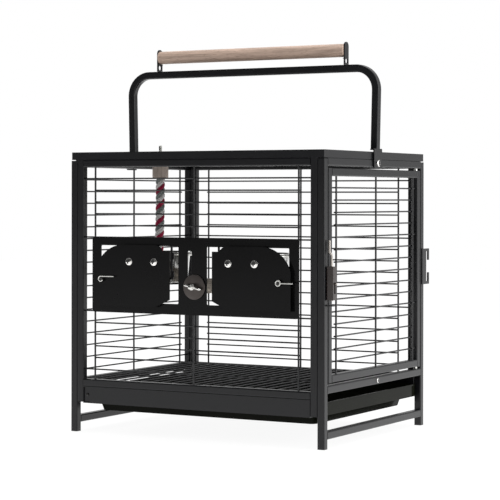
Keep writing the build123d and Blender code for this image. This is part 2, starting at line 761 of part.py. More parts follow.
def side_door():
    """Side door: a welded frame with its own grille, on a pin at each end of the back stile."""
    x = half_width - tube_size / 2
    front_y, back_y = side_door_front + tube_size / 2, side_door_hinge_y
    low_z, high_z = side_door_bottom + tube_size / 2, side_door_top - tube_size / 2
    tubes = [square_tube((x, y, side_door_bottom), (x, y, side_door_top)) for y in (front_y, back_y)]
    first, last = side_door_front + tube_size, side_door_back - tube_size
    tubes += [square_tube((x, first, z), (x, last, z)) for z in (low_z, high_z)]
    nodes["side_door_frame"] = Compound(tubes)
    middle = (first + last) / 2
    end = (last - first) / 2 - side_door_wire_margin
    levels = [side_door_wire_top - k * side_door_wire_pitch for k in range(side_door_wire_count)]
    long_levels = (levels[0], levels[side_door_wire_count // 3 - 1],
                   levels[2 * side_door_wire_count // 3], levels[-1])
    level_x = -half_width + side_door_wire_setback + level_wire / 2
    mesh = grille((-end, 0, end), levels, level_x - level_offset, level_x,
                  side_door_bottom + tube_size, side_door_top - tube_size,
                  end + upright_wire / 2, (last - first) / 2, long_levels)
    nodes["side_door_grille"] = Pos(0, middle, 0) * Rot(0, 0, 90) * mesh
    pins = []
    for end_z, tip, sign in ((side_door_bottom, mid_rail_top - 2 * tube_wall, -1),
                             (side_door_top, rail_bottom + 2 * tube_wall, 1)):
        plug_end = end_z - sign * side_door_pin_grip
        plug = extrude(Pos(x, back_y, min(end_z, plug_end)) * tube_bore(), side_door_pin_grip)
        pins.append(plug + rod((x, back_y, plug_end), (x, back_y, tip), side_door_pin))
    nodes["side_door_hinge_pins"] = Compound(pins)


def side_latch():
    """Drop latch: a box on the door in front of the post, a bent bolt rod in it and a keeper on the post."""
    box_x0 = half_width + box_clearance
    box_x1 = box_x0 + box_reach
    box_y1 = -inner_y + (box_width - box_overlap) + 2.0
    box_y0 = box_y1 - box_width
    top = box_bottom + box_height
    shell = block(box_x0, box_x1, box_y0, box_y1, box_bottom, top)
    shell = fillet(shell.edges().filter_by(Axis.Z), box_wall / 2)
    hollow = block(box_x0 + box_wall, box_x1 - box_wall, box_y0 + box_wall, box_y1 - box_wall,
                   box_bottom + box_wall, top - box_wall)
    rod_x, rod_y = (box_x0 + box_x1) / 2, (box_y0 + box_y1) / 2
    flange_mid = box_bottom + box_height / 2
    flange_y0 = max(side_door_front, box_y1 - box_wall)
    flange = block(half_width, half_width + flange_sheet, flange_y0, box_y1 + flange_width,
                   flange_mid - flange_height / 2, flange_mid + flange_height / 2)
    box = (shell - hollow) + flange
    box = box - rod((rod_x, rod_y, box_bottom), (rod_x, rod_y, top), bolt_rod + 2 * bolt_fit)
    slot_low = thumb_pin_height - bolt_travel - thumb_pin / 2 - 1
    slot_high = thumb_pin_height + thumb_pin / 2 + 1
    slot = block(box_x1 - 2 * box_wall, box_x1 + 1, rod_y - thumb_pin / 2 - 0.5, rod_y + thumb_pin / 2 + 0.5,
                 slot_low, slot_high)
    nodes["side_latch_box"] = box - slot
    path = FilletPolyline(
        (rod_x, rod_y, box_bottom - bolt_below), (rod_x, rod_y, bolt_straight_top),
        (rod_x - bolt_jog, rod_y - bolt_jog / 2, bolt_straight_top + 6),
        (rod_x - bolt_jog, rod_y - bolt_jog / 2, bolt_top), radius=bolt_rod)
    bolt = sweep(Plane(origin=path @ 0, z_dir=path % 0) * Circle(bolt_rod / 2), path)
    thumb = rod((rod_x, rod_y, thumb_pin_height), (box_x1 + thumb_pin_reach, rod_y, thumb_pin_height), thumb_pin)
    nodes["side_latch_bolt"] = bolt + thumb
    lug = block(half_width, rod_x + keeper_width / 2, rod_y - keeper_width / 2, -inner_y,
                keeper_height - keeper_sheet, keeper_height)
    nodes["side_latch_keeper"] = lug - rod((rod_x, rod_y, keeper_height - keeper_sheet),
                                           (rod_x, rod_y, keeper_height), bolt_rod + 2)


def belt_brackets():
    """Flat C-shaped brackets, welded to the outer faces of the back posts, that a belt is passed through."""
    low, high = belt_centre - belt_height / 2, belt_centre + belt_height / 2
    y0, y1 = half_depth - belt_overlap, half_depth + belt_reach
    x0, x1 = half_width, half_width + belt_sheet
    whole = block(x0, x1, y0, y1, low, high)
    hollow = block(x0, x1, y0 + belt_foot, y1 - belt_bar, low + belt_bar, high - belt_bar)
    mouth = block(x0, x1, y1 - belt_bar, y1, low + belt_lip, high - belt_lip)
    bracket = whole - hollow - mouth
    nodes["belt_brackets"] = Compound([bracket, mirror_x(bracket)])


def tray_cover(with_tab):
    """Bent sheet under a bottom rail: a ledge for the tray, the face, and a ledge for the grate."""
    y_face = -half_depth + cover_sheet / 2
    y_step = -inner_y + cover_sheet
    z_ledge = cover_bottom + cover_sheet / 2
    z_under = front_rail_bottom - cover_sheet / 2
    z_grate = grate_ledge - cover_sheet / 2
    t = cover_sheet / 2
    pieces = [
        block(-stile_inner_x, stile_inner_x, y_face - t, y_face + cover_ledge_depth, z_ledge - t, z_ledge + t),
        block(-stile_inner_x, stile_inner_x, y_face - t, y_face + t, z_ledge - t, z_under + t),
        block(-stile_inner_x, stile_inner_x, y_face - t, y_step + t, z_under - t, z_under + t),
        block(-stile_inner_x, stile_inner_x, y_step - t, y_step + t, z_under - t, z_grate + t),
        block(-stile_inner_x, stile_inner_x, y_step - t, y_step + grate_ledge_depth, z_grate - t, z_grate + t),
    ]
    cover = fuse(pieces)
    if with_tab:
        x0, x1 = -stile_inner_x, -stile_inner_x + cover_tab_width
        cut = block(x0, x1, y_face - t, y_face + t, z_ledge + t, z_under - t)
        back = block(x0, x1, y_face - t + cover_tab_step, y_face + t + cover_tab_step, z_ledge + t, z_under - t)
        side = block(x1, x1 + cover_sheet, y_face - t, y_face + t + cover_tab_step, z_ledge + t, z_under - t)
        cover = (cover - cut) + back + side
        sx, sz = (x0 + x1) / 2, (z_ledge + z_under) / 2
        cover = cover - rod((sx, y_face - t, sz), (sx, y_face + cover_tab_step + cover_sheet, sz), frame_screw)
    return cover


def frame_screw_at(face, outward, head_diameter):
    """Screw whose head lies on a face and points outward along an axis."""
    face, outward = Vector(*face), Vector(*outward)
    disc = Plane(origin=face, z_dir=outward) * Circle(head_diameter / 2)
    head = extrude(disc, frame_screw_head_height)
    rim = head.edges().filter_by(GeomType.CIRCLE).sort_by_distance(face + outward * frame_screw_length)[0]
    head = fillet(rim, frame_screw_head_height / 3)
    return head + rod(face, face - outward * frame_screw_length, frame_screw)


def tray_covers():
    """Front and back covers, and the screw that holds the front one's tab."""
    nodes["front_tray_cover"] = tray_cover(True)
    nodes["back_tray_cover"] = mirror_y(tray_cover(False))
    x = -stile_inner_x + cover_tab_width / 2
    z = (cover_bottom + front_rail_bottom) / 2
    face = (x, -half_depth + cover_tab_step, z)
    nodes["tray_cover_screw"] = frame_screw_at(face, (0, -1, 0), cover_screw_head)


def rail_screw():
    """Screw in the rail under the side door."""
    face = (half_width, rail_screw_y, mid_rail_bottom + tube_size / 2)
    nodes["side_rail_screw"] = frame_screw_at(face, (1, 0, 0), rail_screw_head)


def tray():
    """Droppings tray that slides out to the right on the covers' ledges, with a deeper pan in the middle."""
    x = inner_x - tray_end_gap
    y = inner_y - tray_side_gap
    skirt_bottom = cover_bottom + cover_sheet + seat_clearance
    top = skirt_bottom + tray_skirt_height
    pan_x, pan_y = x - tray_pan_inset_x, y - tray_pan_inset_y

    def pan(inset, bottom):
        upper = Plane(origin=(0, 0, skirt_bottom + inset)) * RectangleRounded(
            2 * (pan_x - inset), 2 * (pan_y - inset), tray_pan_corner - inset)
        lower = Plane(origin=(0, 0, bottom)) * RectangleRounded(
            2 * (pan_x - tray_draft - inset), 2 * (pan_y - tray_draft - inset), tray_pan_corner - inset)
        return loft([lower, upper])

    skirt = extrude(Plane(origin=(0, 0, skirt_bottom)) * RectangleRounded(2 * x, 2 * y, 3.0), tray_skirt_height)
    inside = extrude(Plane(origin=(0, 0, skirt_bottom + tray_wall))
                     * RectangleRounded(2 * (x - tray_wall), 2 * (y - tray_wall), 3.0 - tray_wall),
                     tray_skirt_height)
    whole = skirt + pan(0, tray_pan_bottom)
    rim = extrude(Plane(origin=(0, 0, top - tray_rim_height))
                  * RectangleRounded(2 * (x + tray_rim), 2 * (y + tray_rim), 3.0 + tray_rim), tray_rim_height)
    whole = whole + rim
    emptied = whole - inside - pan(tray_wall, tray_pan_bottom + tray_wall)
    nodes["droppings_tray"] = Pos(tray_out, 0, 0) * emptied


def floor_grate():
    """Grate of rods that run front to back, welded on cross bars that rest on the covers' upper ledges."""
    half_y = inner_y - grate_end_gap
    bar_z = grate_ledge + grate_bar / 2
    rod_z = grate_ledge + grate_bar + grate_rod / 2 - weld_sink
    half_x = (grate_count - 1) / 2 * grate_pitch + grate_rod / 2
    first_bar = half_y - grate_bar
    wires = []
    for k in range(grate_bar_count):
        y = -first_bar + 2 * first_bar * k / (grate_bar_count - 1)
        wires.append(rod((-half_x, y, bar_z), (half_x, y, bar_z), grate_bar))
    for k in range(grate_count):
        x = (k - (grate_count - 1) / 2) * grate_pitch
        wires.append(rod((x, -half_y, rod_z), (x, half_y, rod_z), grate_rod))
    nodes["floor_grate"] = fuse(wires)


corner_posts()
side_rails()
front_frame()
back_frame()
front_grilles()
back_and_left_grilles()
lid()
feeder_plate()
feeder_hinge_rods()
feeders()
perch()
toy()
handle()
side_door()
side_latch()
belt_brackets()
tray_covers()
rail_screw()
tray()
floor_grate()

# Move everything so that the origin is on the floor under the middle of the whole object
boxes = [piece.bounding_box() for piece in nodes.values()]
middle_x = (min(box.min.X for box in boxes) + max(box.max.X for box in boxes)) / 2
middle_y = (min(box.min.Y for box in boxes) + max(box.max.Y for box in boxes)) / 2
lowest_z = min(box.min.Z for box in boxes)
print("moved by", round(-middle_x, 3), round(-middle_y, 3), round(-lowest_z, 3))

os.makedirs("parts", exist_ok=True)
for name, piece in nodes.items():
    export_step(Pos(-middle_x, -middle_y, -lowest_z) * piece, f"parts/{name}.step")
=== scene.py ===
"""Looks of the bird cage: finishes for its steel, wire and sheet, and the turned, cast and twisted pieces.

Every length in the code is in millimetres of the cage's own frame, whose middle is the middle of the lid,
and place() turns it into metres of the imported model's frame.
"""

import json
import math

import bpy
import numpy as np
from mathutils import Matrix, Vector


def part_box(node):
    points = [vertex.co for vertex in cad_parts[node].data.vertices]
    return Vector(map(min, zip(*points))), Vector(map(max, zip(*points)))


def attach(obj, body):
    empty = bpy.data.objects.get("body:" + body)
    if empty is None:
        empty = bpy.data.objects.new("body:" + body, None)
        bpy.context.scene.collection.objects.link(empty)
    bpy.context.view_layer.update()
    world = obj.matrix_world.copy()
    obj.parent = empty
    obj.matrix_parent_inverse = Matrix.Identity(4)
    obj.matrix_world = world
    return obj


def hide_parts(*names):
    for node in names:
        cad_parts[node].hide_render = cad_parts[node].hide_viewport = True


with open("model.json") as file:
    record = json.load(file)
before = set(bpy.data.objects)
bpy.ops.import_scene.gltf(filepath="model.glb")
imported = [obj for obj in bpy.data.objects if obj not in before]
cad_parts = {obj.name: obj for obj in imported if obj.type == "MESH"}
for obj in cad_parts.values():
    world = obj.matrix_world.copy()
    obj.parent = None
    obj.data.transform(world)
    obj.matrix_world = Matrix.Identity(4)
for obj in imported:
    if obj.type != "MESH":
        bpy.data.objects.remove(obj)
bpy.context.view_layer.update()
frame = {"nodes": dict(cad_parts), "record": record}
LID_LOW, LID_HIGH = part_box("lid")
MIDDLE = np.array([(LID_LOW.x + LID_HIGH.x) / 2, (LID_LOW.y + LID_HIGH.y) / 2, 0.0])
MM = 0.001
LATCH_FLANGE_Y = -161.3

bl_info = {
    "name": "Bird cage looks",
    "version": (1, 0, 0),
    "blender": (4, 5, 0),
    "location": "View3D > Sidebar > Bird cage",
    "description": "Finishes and detailed pieces of a wire travel cage for a bird",
    "category": "Object",
}


# Places and meshes

def place(points):
    """Millimetres of the cage's frame to metres of the model's frame."""
    return np.asarray(points, float) * MM + MIDDLE


def patch(grid, wrap_rows=False, wrap_columns=True, closed_ends=True):
    """Quads over a grid of points, with a fan to the mean point of the first and the last row.

    A quad runs along a row and then on to the next row, so a grid whose rows go round an axis the
    right-handed way, and follow each other along that axis, faces outwards.
    """
    rows, columns = grid.shape[:2]
    index = np.arange(rows * columns).reshape(rows, columns)
    across, along = np.meshgrid(np.arange(columns + 1) / columns, np.arange(rows + 1) / rows)
    if wrap_columns:
        index = np.concatenate([index, index[:, :1]], axis=1)
    if wrap_rows:
        index = np.concatenate([index, index[:1]], axis=0)
    high, wide = index.shape[0] - 1, index.shape[1] - 1
    corners = [(0, 0), (0, 1), (1, 1), (1, 0)]
    quads = np.stack([index[i:i + high, j:j + wide] for i, j in corners], -1).reshape(-1, 4)
    uvs = np.stack([np.stack([across[i:i + high, j:j + wide], along[i:i + high, j:j + wide]], -1)
                    for i, j in corners], -2).reshape(-1, 4, 2)
    points = grid.reshape(-1, 3)
    triangles, triangle_uvs = np.zeros((0, 3), int), np.zeros((0, 3, 2))
    if closed_ends and wrap_columns and not wrap_rows:
        first, last = index[0], index[-1]
        start, end = len(points), len(points) + 1
        points = np.concatenate([points, [grid[0].mean(0)], [grid[-1].mean(0)]])
        low = np.stack([np.full(columns, start), first[1:], first[:-1]], -1)
        high_fan = np.stack([np.full(columns, end), last[:-1], last[1:]], -1)
        triangles = np.concatenate([low, high_fan])
        turn = np.arange(columns) / columns
        step = turn + 1 / columns
        low_uv = np.stack([np.stack([turn, 0 * turn], -1), np.stack([step, 0 * turn], -1),
                           np.stack([turn, 0 * turn], -1)], 1)
        high_uv = np.stack([np.stack([turn, 0 * turn + 1], -1), np.stack([turn, 0 * turn + 1], -1),
                            np.stack([step, 0 * turn + 1], -1)], 1)
        triangle_uvs = np.concatenate([low_uv, high_uv])
    return points, quads, uvs, triangles, triangle_uvs


def piece(name, patches, materials, sharp=40.0, in_place=False):
    """One object from patches. Patch k takes material k, or the last one given."""
    points, faces, slots, uvs, base = [], [], [], [], 0
    for number, (part, quads, quad_uvs, triangles, triangle_uvs) in enumerate(patches):
        points.append(part if in_place else place(part))
        faces += (quads + base).tolist() + (triangles + base).tolist()
        slots.append(np.full(len(quads) + len(triangles), min(number, len(materials) - 1)))
        uvs += [quad_uvs.reshape(-1, 2), triangle_uvs.reshape(-1, 2)]
        base += len(part)
    mesh = bpy.data.meshes.new(name)
    mesh.from_pydata(np.concatenate(points), [], faces)
    for material in materials:
        mesh.materials.append(material)
    mesh.polygons.foreach_set("material_index", np.concatenate(slots).astype(np.int32))
    mesh.polygons.foreach_set("use_smooth", np.ones(len(faces), bool))
    mesh.uv_layers.new(name="surface").data.foreach_set("uv", np.concatenate(uvs).astype(np.float32).ravel())
    mesh.set_sharp_from_angle(angle=math.radians(sharp))
    mesh.update()
    thing = bpy.data.objects.new(name, mesh)
    bpy.context.scene.collection.objects.link(thing)
    return thing


def basis(axis):
    """Two directions square to an axis, so that the first crossed with the second gives the axis."""
    axis = np.asarray(axis, float) / np.linalg.norm(axis)
    helper = np.array([0.0, 0.0, 1.0]) if abs(axis[2]) < 0.9 else np.array([1.0, 0.0, 0.0])
    first = np.cross(helper, axis)
    first /= np.linalg.norm(first)
    return first, np.cross(axis, first), axis


def turned(profile, centre, axis, columns=48):
    """Lathe work: a profile of radius and height turned about an axis through a centre.

    Point = centre + radius times (cosine of the turn times first + sine times second) + height times axis.
    """
    profile = np.asarray(profile, float)
    turn = np.arange(columns) * 2 * np.pi / columns
    first, second, along = basis(axis)
    ring = np.cos(turn)[:, None] * first + np.sin(turn)[:, None] * second
    return patch(np.asarray(centre, float) + profile[:, None, :1] * ring + profile[:, None, 1:] * along)


def rounded(corners, radii, steps=5):
    """Profile through corners, with each inner corner cut by a quarter-like curve.

    Between the two cut points the curve is the quadratic blend of cut point, corner and cut point.
    """
    corners = [np.asarray(corner, float) for corner in corners]
    points = [corners[0]]
    blend = np.linspace(0, 1, steps + 1)[:, None]
    for before, here, after, radius in zip(corners, corners[1:], corners[2:], radii):
        to_before, to_after = before - here, after - here
        near = here + to_before * min(0.5, radius / np.linalg.norm(to_before))
        far = here + to_after * min(0.5, radius / np.linalg.norm(to_after))
        curve = (1 - blend) ** 2 * near + 2 * blend * (1 - blend) * here + blend ** 2 * far
        points += list(curve)
    return np.array(points + [corners[-1]])


def carried(path, section, closed=False):
    """A closed section of two coordinates carried along a path of points.

    The section's frame at each point is turned as little as possible from the one before. Point = path point
    + first coordinate times the frame's first direction + second coordinate times its second.
    """
    path = np.asarray(path, float)
    if closed:
        tangents = np.roll(path, -1, 0) - np.roll(path, 1, 0)
    else:
        tangents = np.gradient(path, axis=0)
    tangents /= np.linalg.norm(tangents, axis=1)[:, None]
    first = [basis(tangents[0])[0]]
    for tangent in tangents[1:]:
        step = first[-1] - tangent * (first[-1] @ tangent)
        first.append(step / np.linalg.norm(step))
    first = np.array(first)
    second = np.cross(tangents, first)
    section = np.asarray(section, float)
    grid = path[:, None] + section[None, :, :1] * first[:, None] + section[None, :, 1:] * second[:, None]
    return patch(grid, wrap_rows=closed)


def circle(radius, columns=16):
    """Points at the cosine and sine of equal turns."""
    turn = np.arange(columns) * 2 * np.pi / columns
    return radius * np.stack([np.cos(turn), np.sin(turn)], -1)


def arc(centre, radius, start, end, first, second, steps=24):
    """Points at centre + radius times (cosine of the turn times first + sine times second)."""
    turn = np.radians(np.linspace(start, end, steps))
    spread = np.cos(turn)[:, None] * np.asarray(first, float) + np.sin(turn)[:, None] * np.asarray(second, float)
    return np.asarray(centre, float) + radius * spread


def slab(outline, centre, first, second, thickness, bevel):
    """A plate with rounded rims: an outline of two coordinates in the plane of first and second.

    Rows step through the thickness. The outline shrinks towards its mean by the bevel at both faces, along a
    quarter of a circle.
    """
    outline = np.asarray(outline, float)
    first, second = np.asarray(first, float), np.asarray(second, float)
    normal = np.cross(first, second)
    quarter = np.linspace(0, np.pi / 2, 4)
    inset = np.concatenate([bevel * (1 - np.sin(quarter)), bevel * (1 - np.cos(quarter))])
    level = np.concatenate([bevel * (1 - np.cos(quarter)), thickness - bevel * (1 - np.sin(quarter))])
    middle = outline.mean(0)
    reach = np.linalg.norm(outline - middle, axis=1)
    shape = middle + (outline - middle)[None] * (1 - inset[:, None] / reach[None])[..., None]
    grid = shape[..., :1] * first + shape[..., 1:] * second + level[:, None, None] * normal
    return patch(np.asarray(centre, float) + grid)


def pan_head(centre, axis, radius, height, cross, columns=64):
    """Domed screw head with a cross recess.

    Height falls off as the square of the distance from the middle, and the recess takes away a cross whose
    arms are the places where the smaller of the two plane coordinates is less than half the arm's width.
    """
    spread = np.concatenate([np.linspace(1.0, 0.02, 22)])
    turn = np.arange(columns) * 2 * np.pi / columns
    first, second, along = basis(axis)
    across = spread[:, None] * np.cos(turn) * radius
    up = spread[:, None] * np.sin(turn) * radius
    dome = height * (0.55 + 0.45 * (1 - spread[:, None] ** 2.4)) + 0 * across
    arm = np.clip(1.4 - np.minimum(abs(across), abs(up)) / (cross * 0.2), 0, 1)
    reach = np.clip((cross - np.maximum(abs(across), abs(up))) / (0.25 * cross), 0, 1)
    dome = dome - 0.55 * height * arm * reach
    grid = across[..., None] * first + up[..., None] * second + dome[..., None] * along
    rim = grid[0] - along * (0.55 * height)
    grid = np.concatenate([rim[None], grid])
    return patch(np.asarray(centre, float) + grid)


def painted_recess_shade(centre, axis, cross, level):
    """A dark plus painted as the shade in a screw's cross recess: its arms are about two thirds as wide as they
    reach.
    """
    half = cross * 0.34
    quarter = np.array([(cross, -half), (cross, half), (half, half)])
    turns = [np.array([[0, -1], [1, 0]]), np.array([[-1, 0], [0, -1]]), np.array([[0, 1], [-1, 0]])]
    outline = np.concatenate([quarter, *[quarter @ turn.T for turn in turns]])
    first, second, _ = basis(axis)
    return slab(outline, centre, first, second, level, 0.05)


def threaded(centre, axis, radius, length, pitch, depth, columns=40):
    """Threaded rod with a domed tip.

    Radius = the given one less the depth times one half of one minus the cosine of the turn less the height
    counted in pitches, and it falls off along a quarter of a circle over the last of the length.
    """
    rows = int(length / pitch * 8) + 2
    turn = np.arange(columns) * 2 * np.pi / columns
    height = np.linspace(0, length, rows)
    first, second, along = basis(axis)
    groove = depth * 0.5 * (1 - np.cos(turn[None] - height[:, None] / pitch * 2 * np.pi))
    tip = np.clip((height - length + radius * 0.5) / (radius * 0.5), 0, 1)
    reach = (radius - groove) * np.sqrt(1 - 0.75 * tip[:, None] ** 2)
    ring = np.cos(turn)[:, None] * first + np.sin(turn)[:, None] * second
    return patch(np.asarray(centre, float) + reach[..., None] * ring + height[:, None, None] * along)


def hex_nut(centre, axis, across_flats, height, bore, columns=72):
    """Hexagon nut with chamfered corners.

    The hexagon's radius is half the width across the flats over the cosine of the turn from the nearest flat,
    and at both faces it's cut back to the circle inside the corners.
    """
    turn = np.arange(columns) * 2 * np.pi / columns
    hexagon = across_flats / 2 / np.cos(np.mod(turn, np.pi / 3) - np.pi / 6)
    inner = np.minimum(hexagon, across_flats / 2 * 1.02)
    chamfer = 0.12 * height
    rows = [(np.full(columns, bore), 0.0), (inner, 0.0), (hexagon, chamfer), (hexagon, height - chamfer),
            (inner, height), (np.full(columns, bore), height)]
    first, second, along = basis(axis)
    ring = np.cos(turn)[:, None] * first + np.sin(turn)[:, None] * second
    grid = np.stack([reach[:, None] * ring + level * along for reach, level in rows])
    return patch(np.asarray(centre, float) + grid)


def smooth_loop(corners, steps=8):
    """A closed outline that runs smoothly near its corners: the quadratic B-spline of the corner points."""
    corners = np.asarray(corners, float)
    share = np.arange(steps)[:, None] / steps
    before, after = (np.roll(corners, 1, 0) + corners) / 2, (np.roll(corners, -1, 0) + corners) / 2
    curve = ((1 - share)[None] ** 2 * before[:, None] + 2 * (share * (1 - share))[None] * corners[:, None]
             + share[None] ** 2 * after[:, None])
    return curve.reshape(-1, 2)


def smooth_route(points, steps=24):
    """Points read from a NURBS spline over the route's points, in the units of those points."""
    curve = bpy.data.curves.new("route", "CURVE")
    curve.dimensions = "3D"
    spline = curve.splines.new("NURBS")
    spline.points.add(len(points) - 1)
    spline.points.foreach_set("co", np.c_[points, np.ones(len(points))].astype(np.float32).ravel())
    spline.order_u = 3
    spline.use_endpoint_u = True
    spline.resolution_u = steps
    carrier = bpy.data.objects.new("route", curve)
    line = bpy.data.meshes.new_from_object(carrier)
    read = np.empty(3 * len(line.vertices), np.float32)
    line.vertices.foreach_get("co", read)
    bpy.data.meshes.remove(line)
    bpy.data.objects.remove(carrier)
    bpy.data.curves.remove(curve)
    return read.reshape(-1, 3).astype(float)


def strand(path, turns, phase, offset, radius, columns=20):
    """One strand of a twisted rope: its line winds round the rope's path and carries a round section.

    The line = path point + offset times (cosine of the turn times one side direction + sine times the other),
    and the turn grows evenly along the path.
    """
    tangents = np.gradient(path, axis=0)
    tangents /= np.linalg.norm(tangents, axis=1)[:, None]
    first = np.cross(np.array([0.0, 1.0, 0.0]), tangents)
    first /= np.linalg.norm(first, axis=1)[:, None]
    second = np.cross(tangents, first)
    turn = phase + 2 * np.pi * turns * np.linspace(0, 1, len(path))
    line = path + offset * (np.cos(turn)[:, None] * first + np.sin(turn)[:, None] * second)
    return carried(line, circle(radius, columns))


def evenly(path, count):
    """The path's points again, spaced evenly along it."""
    run = np.concatenate([[0], np.cumsum(np.linalg.norm(np.diff(path, axis=0), axis=1))])
    at = np.linspace(0, run[-1], count)
    return np.stack([np.interp(at, run, path[:, k]) for k in range(3)], -1), run[-1]


# Finishes

def node(tree, kind, links=(), **values):
    """A shader node with its inputs set and its links made."""
    made = tree.nodes.new(kind)
    for name, value in values.items():
        setattr(made, name, value)
    for target, source in links:
        if isinstance(source, bpy.types.NodeSocket):
            tree.links.new(source, made.inputs[target])
        else:
            made.inputs[target].default_value = source
    return made


def group(name, inputs, outputs):
    """A shader node group with named sockets. Returns the group with its input and output node."""
    tree = bpy.data.node_groups.new(name, "ShaderNodeTree")
    for label, kind, value in inputs:
        socket = tree.interface.new_socket(name=label, in_out="INPUT", socket_type=kind)
        if value is not None:
            socket.default_value = value
    for label, kind in outputs:
        tree.interface.new_socket(name=label, in_out="OUTPUT", socket_type=kind)
    return tree, tree.nodes.new("NodeGroupInput"), tree.nodes.new("NodeGroupOutput")


VALUE, COLOUR, VECTOR = "NodeSocketFloat", "NodeSocketColor", "NodeSocketVector"


def coat_skin_group():
    """Skin of a sprayed or moulded surface: fine peel for bump, and slow cloudy change for colour and gloss."""
    tree, entry, exit_node = group(
        "Coat skin",
        [("Peel size", VALUE, 900.0), ("Cloud size", VALUE, 12.0), ("Colour", COLOUR, None),
         ("Worn colour", COLOUR, None), ("Roughness", VALUE, 0.4), ("Spread", VALUE, 0.06)],
        [("Colour", COLOUR), ("Roughness", VALUE), ("Height", VALUE)],
    )
    where = node(tree, "ShaderNodeTexCoord")
    peel = node(tree, "ShaderNodeTexNoise", [("Vector", where.outputs["Object"]), ("Scale", entry.outputs[0]),
                                             ("Detail", 2.0)])
    cloud = node(tree, "ShaderNodeTexNoise", [("Vector", where.outputs["Object"]), ("Scale", entry.outputs[1]),
                                              ("Detail", 5.0), ("Roughness", 0.6)])
    share = node(tree, "ShaderNodeMapRange", [("Value", cloud.outputs["Fac"]), ("From Min", 0.35),
                                              ("From Max", 0.75)])
    colour = node(tree, "ShaderNodeMix", data_type="RGBA")
    tree.links.new(share.outputs["Result"], colour.inputs[0])
    tree.links.new(entry.outputs[2], colour.inputs[6])
    tree.links.new(entry.outputs[3], colour.inputs[7])
    swing = node(tree, "ShaderNodeMath", [(0, cloud.outputs["Fac"]), (1, 0.5)], operation="SUBTRACT")
    rough = node(tree, "ShaderNodeMath", [(0, swing.outputs[0]), (1, entry.outputs[5]), (2, entry.outputs[4])],
                 operation="MULTIPLY_ADD")
    tree.links.new(colour.outputs[2], exit_node.inputs[0])
    tree.links.new(rough.outputs[0], exit_node.inputs[1])
    tree.links.new(peel.outputs["Fac"], exit_node.inputs[2])
    return tree


def wood_grain_group():
    """Long grain along the x axis of the vector: rings of a far-off trunk, fibres, pores and a slow tint."""
    tree, entry, exit_node = group(
        "Wood grain",
        [("Vector", VECTOR, None), ("Light", COLOUR, None), ("Dark", COLOUR, None), ("Pore", COLOUR, None)],
        [("Colour", COLOUR), ("Height", VALUE)],
    )
    vector = entry.outputs["Vector"]
    long_map = node(tree, "ShaderNodeMapping", [("Vector", vector), ("Location", (0.3, 0.02, 0.05)),
                                                ("Scale", (3.0, 42.0, 42.0))])
    rings = node(tree, "ShaderNodeTexNoise", [("Vector", long_map.outputs[0]), ("Scale", 1.0), ("Detail", 4.0),
                                              ("Roughness", 0.55), ("Distortion", 0.6)])
    bands = node(tree, "ShaderNodeMath", [(0, rings.outputs["Fac"]), (1, 46.0)], operation="MULTIPLY")
    wave = node(tree, "ShaderNodeMath", [(0, bands.outputs[0])], operation="SINE")
    band_share = node(tree, "ShaderNodeMapRange", [("Value", wave.outputs[0]), ("From Min", -1.0),
                                                   ("From Max", 1.0), ("To Max", 0.55)])
    fibre_map = node(tree, "ShaderNodeMapping", [("Vector", vector), ("Scale", (26.0, 900.0, 900.0))])
    fibres = node(tree, "ShaderNodeTexNoise", [("Vector", fibre_map.outputs[0]), ("Scale", 1.0),
                                               ("Detail", 3.0)])
    fibre_share = node(tree, "ShaderNodeMapRange", [("Value", fibres.outputs["Fac"]), ("From Min", 0.3),
                                                    ("From Max", 0.7), ("To Max", 0.45)])
    both = node(tree, "ShaderNodeMath", [(0, band_share.outputs[0]), (1, fibre_share.outputs[0])],
                operation="ADD")
    base = node(tree, "ShaderNodeMix", data_type="RGBA")
    tree.links.new(both.outputs[0], base.inputs[0])
    tree.links.new(entry.outputs["Light"], base.inputs[6])
    tree.links.new(entry.outputs["Dark"], base.inputs[7])
    pore_map = node(tree, "ShaderNodeMapping", [("Vector", vector), ("Scale", (90.0, 1500.0, 1500.0))])
    pores = node(tree, "ShaderNodeTexNoise", [("Vector", pore_map.outputs[0]), ("Scale", 1.0), ("Detail", 1.0)])
    pore_share = node(tree, "ShaderNodeMapRange", [("Value", pores.outputs["Fac"]), ("From Min", 0.62),
                                                   ("From Max", 0.72), ("To Max", 0.6)])
    final = node(tree, "ShaderNodeMix", data_type="RGBA")
    tree.links.new(pore_share.outputs[0], final.inputs[0])
    tree.links.new(base.outputs[2], final.inputs[6])
    tree.links.new(entry.outputs["Pore"], final.inputs[7])
    height = node(tree, "ShaderNodeMath", [(0, fibre_share.outputs[0]), (1, pore_share.outputs[0])],
                  operation="SUBTRACT")
    tree.links.new(final.outputs[2], exit_node.inputs[0])
    tree.links.new(height.outputs[0], exit_node.inputs[1])
    return tree


